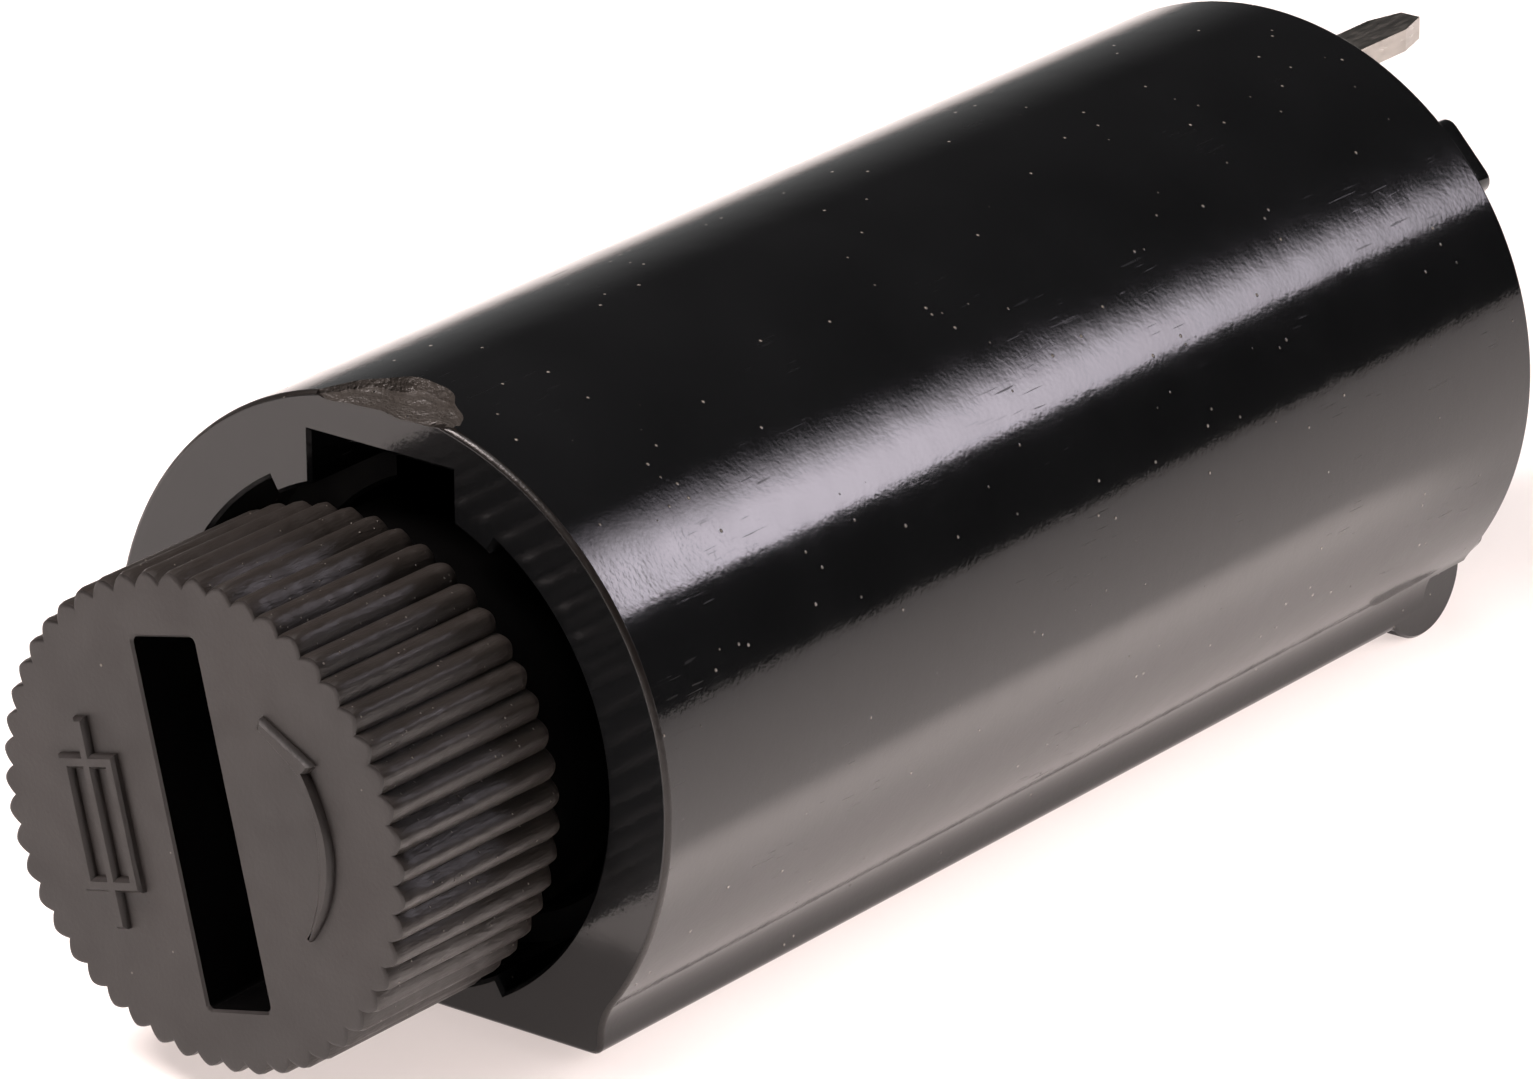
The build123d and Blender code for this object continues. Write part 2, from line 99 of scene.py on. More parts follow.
class HousingSizes(bpy.types.PropertyGroup):
    radius: size("Radius", HOUSING_HIGH.x / MM, "Radius of the round body")
    base_height: size("Base height", 5.45, "From the axis down to the flat base")
    base_half_width: size("Base half-width", 5.25, "Half the width of the flat base")
    base_blend: size("Base blend", 1.4, "Hollow radius between the round body and the base's side walls")
    base_corner: size("Base corner", 0.25, "Radius of the base's lower corners")
    rim_round: size("Rim round", 0.12, "Radius on the front edge")
    rear_round: size("Rear round", 0.1, "Radius on the rear edge")
    foot_radius: size("Foot radius", 1.38, "Radius of the bead across the rear end of the base")
    pad_height: size("Pad height", 0.5, "How far the stand-off pads stand behind the rear face")
    pad_root: size("Pad root", 1.0, "How far the pads reach into the body")
    pad_width: size("Pad width", 1.8, "Width of a stand-off pad round the rim")
    pad_depth: size("Pad depth", 1.5, "Radial depth of a stand-off pad")
    pad_inset: size("Pad inset", 0.12, "From the body's surface to a pad")
    pad_corner: size("Pad corner", 0.3, "Corner radius of a stand-off pad")
    pad_angle: angle("Pad angle", 43, "Of each pad, above and below the horizontal")
    mouth_radius: size("Mouth radius", 5.5, "Radius of the wide mouth")
    mouth_depth: size("Mouth depth", 2.6, "Depth of the wide mouth")
    mouth_chamfer: size("Mouth chamfer", 0.08, "Broken edge round the mouth")
    land_radius: size("Land radius", 5.145, "Radius of the mouth's narrower stretches")
    land_half_angle: angle("Land half-angle", 31, "Half the sweep of each narrower stretch")
    slot_half_width: size("Key slot half-width", 1.785, "Half the width of the key slot")
    slot_top: size("Key slot top", 5.92, "From the axis to the key slot's flat top")
    ledge_radius: size("Ledge radius", 4.5, "Bore through the ledge behind the mouth")
    ledge_end: size("Ledge end", 4.6, "Depth of the ledge's rear face")
    groove_end: size("Groove end", 7.6, "Depth of the bayonet groove's rear face")
    groove_radius: size("Groove radius", 6.02, "Radius of the bayonet groove at the top")
    low_groove_radius: size("Lower groove radius", 4.85, "Radius of the bayonet groove at the bottom")
    low_slot_half_width: size("Lower slot half-width", 1.3, "Half the width of the lower lug's slot")
    cap_bore: size("Cap bore", 4.2, "Radius of the bore behind the groove")
    cap_bore_end: size("Cap bore end", 10.2, "Depth where the cap's bore ends")
    ring_seat: size("Ring seat", 3.38, "Radius of the contact ring's seat")
    ring_seat_end: size("Ring seat end", 12.4, "Depth of the end of the contact ring's seat")
    fuse_bore: size("Fuse bore", 3.0, "Radius of the bore round the fuse")
    rear_wall: size("Rear wall", 2.3, "Thickness of the closed rear end")
    gate_radius: size("Gate radius", 1.75, "Radius of the half-moon left where the sprue was cut off")
    gate_depth: size("Gate depth", 0.25, "Depth of the half-moon at its middle")
    gate_offset: size("Gate offset", 0.5, "From the gate's centre back to the front face")
    gate_shift: size("Gate shift", 0.18, "Sideways shift of the gate's centre")
    gate_roughness: size("Gate roughness", 0.09, "Height of the torn grain in the half-moon")


class CapSizes(bpy.types.PropertyGroup):
    rib_count: IntProperty(name="Ribs", default=50, min=8, description="Knurled ribs round the head")
    rib_height: size("Rib height", 0.21, "From the valley between two ribs to their tips")
    rib_front_round: size("Rib front round", 0.13, "Rounding of the ribs at the face")
    rib_rear_round: size("Rib rear round", 0.3, "Rounding of the ribs at the back of the head")
    neck_gap: size("Neck gap", 0.7, "From the back of the head to the housing's front face")
    barrel_radius: size("Barrel radius", 4.3, "Radius of the barrel that enters the housing")
    lug_start: size("Lug start", 4.95, "Depth of the middle of the lugs' sloping front faces")
    lug_end: size("Lug end", 6.5, "Depth of the lugs' rear faces")
    lug_half_width: size("Lug half-width", 1.6, "Half the width of the upper lug")
    lug_reach: size("Lug reach", 5.7, "From the axis to the top of the upper lug")
    low_lug_half_width: size("Lower lug half-width", 1.2, "Half the width of the lower lug")
    low_lug_reach: size("Lower lug reach", 4.68, "From the axis to the end of the lower lug")
    skirt_radius: size("Skirt radius", 3.95, "Radius of the skirt round the fuse clip")
    slot_length: size("Driver slot length", 7.5, "Length of the screwdriver slot")
    slot_width: size("Driver slot width", 1.6, "Width of the screwdriver slot")
    slot_depth: size("Driver slot depth", 2.2, "Depth of the screwdriver slot")
    slot_angle: angle("Driver slot angle", 13, "Anticlockwise from upright, seen from the front")
    relief: size("Relief", 0.16, "How far the raised marks stand out of the face")


class Finishes(bpy.types.PropertyGroup):
    housing_black: colour("Housing black", "#151617", "Gloss black moulding of the housing")
    cap_black: colour("Cap black", "#1b1715", "Satin black moulding of the cap")
    dust: colour("Dust", "#9a948b", "Specks of dust on the mouldings")
    tin: colour("Tin", "#c4bfb8", "Tin plating on the terminals")
    nickel: colour("Nickel", "#bdb7ab", "Nickel plating on the contacts")
    brass: colour("Brass", "#c9a35c", "Bare brass")
    steel: colour("Spring steel", "#9a9a9c", "Drawn spring wire")
    solder: colour("Solder", "#a9a9ad", "Solder in the fuse's caps")
    torn: colour("Torn black", "#3a3632", "The half-moon where the sprue was torn off")
    worn: colour("Worn black", "#171310", "The broken front edge of the housing")
    # Painted shade: near-black that stands in for the shade on the faces behind the mouth, not a colour of
    # the plastic.
    recess_painted_shade: colour("Recess painted shade", "#030303", "The shaded faces behind the mouth")
    scuffed: colour("Scuffed black", "#2b2724", "The handled ribs of the cap")
    # Painted shade: near-black that stands in for the shade in the cap's driver slot and on its barrel.
    slot_and_barrel_painted_shade: colour("Slot and barrel painted shade", "#070707", "The cap's driver slot and barrel")
    fibre: colour("Fibre", "#6f3f2c", "Vulcanised fibre of the plunger's stop ring")
    floor: colour("Floor", "#f4f3f1", "Pale floor")


class StageSettings(bpy.types.PropertyGroup):
    view_azimuth: angle("View azimuth", 38.05, "Direction of the camera, round from the front to the right")
    view_elevation: angle("View elevation", 21.655, "Height of the camera above the horizontal")
    view_roll: angle("View roll", -0.455, "Turn of the camera about its own axis")
    view_distance: size("View distance", 196.41, "From the camera to the point that it looks at")
    aim_x: size("Aim across", -0.425, "Sideways place of the point that the camera looks at")
    aim_depth: size("Aim depth", 12.593, "Depth of that point behind the housing's front face")
    lens: number("Lens", 225.65, "Focal length in millimetres")
    sensor: number("Sensor", 36, "Width of the camera's sensor in millimetres")
    overhead: number("Overhead", 3.5, "Watts of the overhead softbox")
    pool: number("Pool", 0.42, "Watts of the low lamp above the cap")
    side: number("Side", 60.0, "Watts of the softbox that lights the floor")
    fill: number("Fill", 0.0016, "Watts of the strip that lights the floor beside the base")
    lamp_tint: colour("Lamp tint", "#fff0ed", "Warm white of all the lamps but the overhead softbox")
    strip: number("Strip", 12.5, "Brightness of the card that draws the highlight")
    strip_fade: number("Strip fade", 0.36, "Brightness of the card's far end, as a share")
    strip_tint: colour("Strip tint", "#f8effb", "Cool white of the card")
    strip_low: angle("Strip low edge", 33.6, "Where the highlight starts, round from the right-hand side")
    strip_front: angle("Strip front", 50.0, "Where the highlight ends at the front of the body")
    strip_rear: angle("Strip rear", 39.5, "Where the highlight ends at the rear of the body")
    strip_distance: size("Strip distance", 260, "From the middle of the body to the card")
    sky: number("Sky", 0.02, "Brightness of the even light from all round")
    glow: number("Glow", 0.3, "Brightness low down on the left")
    backdrop: number("Backdrop", 0.9, "Brightness of the backdrop behind the floor")


GROUPS = {
    "fuse_holder_housing": HousingSizes,
    "fuse_holder_cap": CapSizes,
    "fuse_holder_finishes": Finishes,
    "fuse_holder_stage": StageSettings,
}


# ---------------------------------------------------------------- mesh helpers

def at(depth):
    """The Y of a depth behind the housing's front face."""
    return FRONT_Y + depth


def depth_of(y):
    return y - FRONT_Y


def arc(centre, radius, start, end, steps):
    """Points on an arc between two angles in degrees, both ends included."""
    turns = [math.radians(start + (end - start) * step / steps) for step in range(steps + 1)]
    return [(centre[0] + radius * math.cos(turn), centre[1] + radius * math.sin(turn)) for turn in turns]


def both_sides(half):
    """A closed outline from its right-hand half, which runs from the top to the bottom."""
    return half + [(-x, z) for x, z in reversed(half) if abs(x) > 1e-7]


def rectangle(low_x, high_x, low_z, high_z):
    return [(low_x, high_z), (high_x, high_z), (high_x, low_z), (low_x, low_z)]


def grown(outline, amount):
    """The outline moved outwards by an amount, with its corners kept."""
    moved = []
    for i, (x, z) in enumerate(outline):
        before, after = Vector(outline[i - 1]), Vector(outline[(i + 1) % len(outline)])
        here = Vector((x, z))
        first, second = (here - before).normalized(), (after - here).normalized()
        normals = [Vector((-d.y, d.x)) for d in (first, second)]
        spread = max(1 + normals[0].dot(normals[1]), 0.5)
        moved.append(tuple(here + (normals[0] + normals[1]) * (amount / spread)))
    return moved


def piece_from(name, mesh):
    """An object at the origin that holds the bmesh, with its faces pointing outwards."""
    bmesh.ops.recalc_face_normals(mesh, faces=mesh.faces)
    data = bpy.data.meshes.new(name)
    mesh.to_mesh(data)
    mesh.free()
    made = bpy.data.objects.new(name, data)
    bpy.context.scene.collection.objects.link(made)
    return made


def shell(name, stations):
    """A closed solid through outlines with equally many points, each given with its depth."""
    mesh = bmesh.new()
    loops = [[mesh.verts.new((x, at(depth), z)) for x, z in outline] for depth, outline in stations]
    for near, far in zip(loops, loops[1:]):
        for i in range(len(near)):
            j = (i + 1) % len(near)
            mesh.faces.new((near[i], near[j], far[j], far[i]))
    mesh.faces.new(loops[0])
    mesh.faces.new(loops[-1])
    return piece_from(name, mesh)


def turned(name, profile, segments=128):
    """A closed solid turned about the holder's axis, from a loop of depths and radii."""
    mesh = bmesh.new()
    turns = [math.tau * k / segments for k in range(segments)]
    rings = []
    for depth, radius in profile:
        if radius <= 0:
            rings.append([mesh.verts.new((0, at(depth), 0))] * segments)
        else:
            circle = [(radius * math.cos(turn), at(depth), radius * math.sin(turn)) for turn in turns]
            rings.append([mesh.verts.new(point) for point in circle])
    closed = profile[0][1] > 0
    pairs = list(zip(rings, rings[1:])) + ([(rings[-1], rings[0])] if closed else [])
    for near, far in pairs:
        for i in range(segments):
            j = (i + 1) % segments
            corners = list(dict.fromkeys((near[i], near[j], far[j], far[i])))
            if len(corners) > 2:
                mesh.faces.new(corners)
    return piece_from(name, mesh)


def flattened(target):
    """Replaces an object's mesh by what its modifiers make of it, and removes them."""
    graph = bpy.context.evaluated_depsgraph_get()
    made = bpy.data.meshes.new_from_object(target.evaluated_get(graph))
    made.name = target.name
    target.modifiers.clear()
    spent, target.data = target.data, made
    bpy.data.meshes.remove(spent)
    return target


def combine(target, tool, operation):
    modifier = target.modifiers.new("Combine", "BOOLEAN")
    modifier.object = tool
    modifier.operation = operation
    modifier.solver = "MANIFOLD"
    flattened(target)
    bpy.data.meshes.remove(tool.data)
    if not target.data.polygons:
        raise RuntimeError(f"{target.name} vanished in a boolean")
    return target


def cut(target, tool):
    return combine(target, tool, "DIFFERENCE")


def join(target, tool):
    return combine(target, tool, "UNION")


def finish_piece(piece, body, slot, material, *nodes, sharp=math.radians(34)):
    """Shades a piece, gives it its material, and sets it on its body in place of its CAD nodes."""
    for face in piece.data.polygons:
        face.use_smooth = True
    piece.data.set_sharp_from_angle(angle=sharp)
    evened = piece.modifiers.new("Even shading", "WEIGHTED_NORMAL")
    evened.keep_sharp = True
    piece.data.materials.clear()
    piece.data.materials.append(material)
    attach(piece, body)
    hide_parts(*nodes)
    return piece


def spot_of(face):
    """Where a face's middle is: across the holder, its depth, and up."""
    x, y, z = face.center
    return x, depth_of(y), z


def refinish(piece, material, chosen):
    """Gives the faces that chosen(face) picks a finish of their own."""
    piece.data.materials.append(material)
    index = len(piece.data.materials) - 1
    for face in piece.data.polygons:
        if chosen(face):
            face.material_index = index


# ---------------------------------------------------------------- materials

def add_node(tree, kind, inputs=None, **settings):
    """Adds a node, applies its settings, and sets or links its inputs."""
    made = tree.nodes.new(kind)
    for name, value in settings.items():
        setattr(made, name, value)
    for name, value in (inputs or {}).items():
        if isinstance(value, bpy.types.NodeSocket):
            tree.links.new(value, made.inputs[name])
        else:
            made.inputs[name].default_value = value
    return made


def blank_material(name):
    """A material with a lone output, its node tree, and Object coordinates in metres."""
    material = bpy.data.materials.new(name)
    material.use_nodes = True
    tree = material.node_tree
    tree.nodes.clear()
    place = add_node(tree, "ShaderNodeTexCoord").outputs["Object"]
    return material, tree, place


def calc(tree, operation, *values):
    """One arithmetic node on numbers or sockets, as the socket of its result."""
    return add_node(tree, "ShaderNodeMath", dict(enumerate(values)), operation=operation).outputs[0]


def grain(tree, place, size_of, detail):
    """Noise with lumps of a size in metres."""
    return add_node(tree, "ShaderNodeTexNoise", {
        "Vector": place, "Scale": 1 / size_of, "Detail": detail}).outputs[0]


def spread(tree, value, low, high, to_low, to_high, **settings):
    """The value moved from one range to another and held at its ends."""
    return add_node(tree, "ShaderNodeMapRange", {
        "Value": value, "From Min": low, "From Max": high, "To Min": to_low, "To Max": to_high},
        **settings).outputs[0]


def toned(tree, base, tone):
    """A colour made lighter and darker by a socket's value."""
    return add_node(tree, "ShaderNodeVectorMath", {0: base, "Scale": tone}, operation="SCALE").outputs[0]


def stretched(tree, place, scale, rotation=(0, 0, 0)):
    return add_node(tree, "ShaderNodeMapping", {
        "Vector": place, "Scale": scale, "Rotation": rotation}).outputs[0]


def bumped(tree, height, depth):
    return add_node(tree, "ShaderNodeBump", {
        "Height": height, "Distance": depth, "Strength": 1.0}).outputs[0]


def surface(tree, **inputs):
    """A Principled surface on the material's output; an input's name has underscores for spaces."""
    named = {name.replace("_", " "): value for name, value in inputs.items()}
    shader = add_node(tree, "ShaderNodeBsdfPrincipled", named)
    add_node(tree, "ShaderNodeOutputMaterial", {"Surface": shader.outputs[0]})


def moulding(name, base, roughness, peel_size, peel_depth, speck_size=0.03 * MM, speck_share=0.0,
             scratches=0.0, lie=(1, 1, 1), sheen=0.5):
    """Injection-moulded thermoplastic: a smooth skin with faint orange peel, dust and hairlines.

    The peel breaks up the edge of a long highlight and the specks catch the light as pale points.
    lie stretches the peel along an axis, and sheen is the strength of the surface's reflections.
    """
    material, tree, place = blank_material(name)
    peel = grain(tree, stretched(tree, place, lie), peel_size, 3.0)
    swell = grain(tree, place, peel_size / 0.12, 1.0)
    cells = add_node(tree, "ShaderNodeTexVoronoi", {"Vector": place, "Scale": 1 / (9 * speck_size)})
    chosen = calc(tree, "LESS_THAN", cells.outputs["Color"], speck_share)
    speck = calc(tree, "MULTIPLY", chosen, spread(tree, cells.outputs["Distance"], 0.05, 0.16, 1.0, 0.0))
    tone = spread(tree, grain(tree, place, 3.0 * MM, 2.0), 0.3, 0.7, 0.85, 1.15)
    dust = bpy.context.scene.fuse_holder_finishes.dust
    mixed = add_node(tree, "ShaderNodeMix", {0: speck, 6: toned(tree, base, tone), 7: (*dust, 1)},
                     data_type="RGBA")
    uneven = spread(tree, swell, 0.3, 0.7, roughness * 0.88, roughness * 1.15)
    rough = calc(tree, "MULTIPLY_ADD", hairlines(tree, place, scratches), 0.2, uneven)
    skin = calc(tree, "MULTIPLY_ADD", swell, 2.5, peel)
    raised = calc(tree, "MULTIPLY_ADD", speck, 4.0, skin)
    surface(tree, Base_Color=mixed.outputs[2], Roughness=rough, Normal=bumped(tree, raised, peel_depth),
            IOR=1.5, Specular_IOR_Level=sheen)
    return material


def hairlines(tree, place, strength):
    """Faint short scratches: bands of noise stretched in two directions, kept to scattered patches."""
    lines = []
    for turn in (0.5, -0.9):
        lie = stretched(tree, place, (1.0, 0.06, 1.0), (0.2, turn, turn))
        lines.append(spread(tree, grain(tree, lie, 0.06 * MM, 0.0), 0.76, 0.8, 0.0, strength))
    patches = spread(tree, grain(tree, place, 3.0 * MM, 1.0), 0.52, 0.64, 0.0, 1.0)
    return calc(tree, "MULTIPLY", calc(tree, "MAXIMUM", *lines), patches)


def metal(name, base, roughness, grain_size, grain_depth, lie=(1, 1, 1)):
    """Plated or bare metal: the grain breaks up its reflections, and a slow stain varies its tone."""
    material, tree, place = blank_material(name)
    fine = grain(tree, stretched(tree, place, lie), grain_size, 4.0)
    stain = spread(tree, grain(tree, place, 1.6 * MM, 3.0), 0.3, 0.7, 0.75, 1.0)
    rough = spread(tree, fine, 0.3, 0.7, roughness * 0.75, roughness * 1.3)
    surface(tree, Base_Color=toned(tree, base, stain), Metallic=1.0, Roughness=rough,
            Normal=bumped(tree, fine, grain_depth))
    return material


def clear_glass():
    """Drawn soda-lime glass tube: colourless and smooth, with a faint wave along its length."""
    material, tree, place = blank_material("soda_lime_glass_tube")
    wave = grain(tree, stretched(tree, place, (1, 0.2, 1)), 2 * MM, 1.0)
    surface(tree, Base_Color=(0.97, 0.99, 0.98, 1), Roughness=0.02, IOR=1.52, Transmission_Weight=1.0,
            Normal=bumped(tree, wave, 0.02 * MM))
    return material


def vulcanised_fibre(base):
    """Vulcanised fibre: matt red-brown sheet with a fine felted grain."""
    material, tree, place = blank_material("vulcanised_fibre")
    felt = grain(tree, place, 0.15 * MM, 5.0)
    surface(tree, Base_Color=toned(tree, base, spread(tree, felt, 0.0, 1.0, 0.7, 1.3)), Roughness=0.75,
            Normal=bumped(tree, felt, 0.02 * MM))
    return material


def housing_moulding():
    base = bpy.context.scene.fuse_holder_finishes.housing_black
    return moulding("moulded_pbt_gloss", base, 0.1, 0.11 * MM, 0.0018 * MM, speck_share=0.22, scratches=1.0)


def cap_moulding():
    base = bpy.context.scene.fuse_holder_finishes.cap_black
    return moulding("moulded_pbt_satin", base, 0.42, 0.1 * MM, 0.006 * MM, speck_share=0.08, scratches=0.4)


def finish_material(name):
    """The material of each small metal, glass or fibre piece, made once."""
    known = bpy.data.materials.get(name)
    if known:
        return known
    finishes = bpy.context.scene.fuse_holder_finishes
    makers = {
        "tinned_brass_strip": lambda: metal(name, finishes.tin, 0.36, 0.12 * MM, 0.004 * MM, (1, 0.25, 1)),
        "nickel_plated_brass": lambda: metal(name, finishes.nickel, 0.2, 0.08 * MM, 0.001 * MM),
        "turned_brass": lambda: metal(name, finishes.brass, 0.25, 0.05 * MM, 0.002 * MM, (0.2, 1, 0.2)),
        "drawn_spring_wire": lambda: metal(name, finishes.steel, 0.28, 0.05 * MM, 0.001 * MM),
        "soft_solder": lambda: metal(name, finishes.solder, 0.4, 0.2 * MM, 0.01 * MM),
        "vulcanised_fibre": lambda: vulcanised_fibre(finishes.fibre),
        "soda_lime_glass_tube": clear_glass,
    }
    return makers[name]()


# ---------------------------------------------------------------- housing

def body_outline(s, inset):
    """The housing's cross-section, moved inwards by an inset."""
    blend_x = s.base_half_width + s.base_blend
    blend_z = -math.sqrt((s.radius + s.base_blend) ** 2 - blend_x ** 2)
    meeting = math.degrees(math.atan2(blend_z, blend_x))
    half = arc((0, 0), s.radius - inset, 90, meeting, 128)
    half += arc((blend_x, blend_z), s.base_blend + inset, 180 + meeting, 180, 12)[1:]
    corner = (s.base_half_width - s.base_corner, s.base_corner - s.base_height)
    half += arc(corner, s.base_corner - inset, 0, -90, 6)
    half.append((0, inset - s.base_height))
    return both_sides(half)


def rounded_stations(outline_at, front, rear, front_round, rear_round, steps=5):
    """Depths and outlines of a bar whose two end edges are rounded off."""
    stations = []
    for step in range(steps + 1):
        turn = math.pi / 2 * step / steps
        depth = front + front_round * (1 - math.cos(turn))
        stations.append((depth, outline_at(front_round * (1 - math.sin(turn)))))
    for step in range(steps + 1):
        turn = math.pi / 2 * step / steps
        depth = rear - rear_round * (1 - math.sin(turn))
        stations.append((depth, outline_at(rear_round * (1 - math.cos(turn)))))
    return stations


def mouth_outline(s):
    """The mouth: wide at both sides, with narrower lands at top and bottom and the key slot on top."""
    slot_turn = math.degrees(math.acos(s.slot_half_width / s.land_radius))
    land_turn = 90 - math.degrees(s.land_half_angle)
    half = [(0, s.slot_top), (s.slot_half_width, s.slot_top)]
    half += arc((0, 0), s.land_radius, slot_turn, land_turn, 10)
    half += arc((0, 0), s.mouth_radius, land_turn, -land_turn, 96)
    half += arc((0, 0), s.land_radius, -land_turn, -90, 24)
    return both_sides(half)


def sector(radius, first, last, steps=40):
    """A slice of a disc between two angles in degrees."""
    return [(0, 0)] + arc((0, 0), radius, first, last, steps)


def bead(s):
    """Rounded foot across the rear end of the base."""
    centre_y = BOARD_Y - s.pad_height - s.foot_radius
    centre_z = HOUSING_LOW.z + s.foot_radius
    edge = 0.06 * MM
    half_length = s.base_half_width - 0.005 * MM
    mesh = bmesh.new()
    rings = []
    for x, radius in ((-half_length, s.foot_radius - edge), (edge - half_length, s.foot_radius),
                      (half_length - edge, s.foot_radius), (half_length, s.foot_radius - edge)):
        circle = arc((centre_y, centre_z), radius, 0, 360, 96)[:-1]
        rings.append([mesh.verts.new((x, y, z)) for y, z in circle])
    for near, far in zip(rings, rings[1:]):
        for i in range(len(near)):
            mesh.faces.new((near[i - 1], near[i], far[i], far[i - 1]))
    mesh.faces.new(rings[0])
    mesh.faces.new(rings[-1])
    return piece_from("foot_bead", mesh)


def pad_outline(s, turn, inset):
    """A rounded rectangle near the rim, turned about the axis."""
    half_depth, half_width = s.pad_depth / 2 - inset, s.pad_width / 2 - inset
    corner = s.pad_corner - inset
    middle = s.radius - s.pad_inset - s.pad_depth / 2
    points = []
    for sign_x, sign_z, start in ((1, 1, 90), (1, -1, 0), (-1, -1, -90), (-1, 1, -180)):
        centre = (middle + sign_x * (half_depth - corner), sign_z * (half_width - corner))
        points += arc(centre, corner, start, start - 90, 5)
    spin = Matrix.Rotation(turn, 2)
    return [tuple(spin @ Vector(point)) for point in points]


def gate_tool(s):
    """A blunt punch with a torn, uneven end, which leaves the half-moon where the sprue was."""
    mesh = bmesh.new()
    rings_count, spokes = 22, 96
    floor_z = s.radius - s.gate_depth
    rings = []
    for ring in range(1, rings_count + 1):
        reach = s.gate_radius * ring / rings_count
        row = []
        for spoke in range(spokes):
            turn = math.tau * spoke / spokes
            wobble = 1 + 0.03 * math.sin(5 * turn) + 0.02 * math.sin(11 * turn + 1)
            x = s.gate_shift + reach * wobble * math.cos(turn)
            y = at(-s.gate_offset) + reach * wobble * math.sin(turn)
            torn = noise.noise(Vector((x * 0.6, y * 1.6, 0.3)) / (0.35 * MM))
            row.append(mesh.verts.new((x, y, floor_z + s.gate_roughness * torn)))
        rings.append(row)
    middle = mesh.verts.new((s.gate_shift, at(-s.gate_offset), floor_z))
    slope = 1.45
    centre = Vector((s.gate_shift, at(-s.gate_offset)))
    lid = []
    for rim in rings[-1]:
        x, y = centre + (rim.co.xy - centre) * slope
        lid.append(mesh.verts.new((x, y, s.radius + s.gate_radius)))
    rings.append(lid)
    for near, far in zip(rings, rings[1:]):
        for i in range(spokes):
            mesh.faces.new((near[i - 1], near[i], far[i], far[i - 1]))
    for i in range(spokes):
        mesh.faces.new((middle, rings[0][i - 1], rings[0][i]))
    mesh.faces.new(lid)
    return piece_from("gate_tool", mesh)


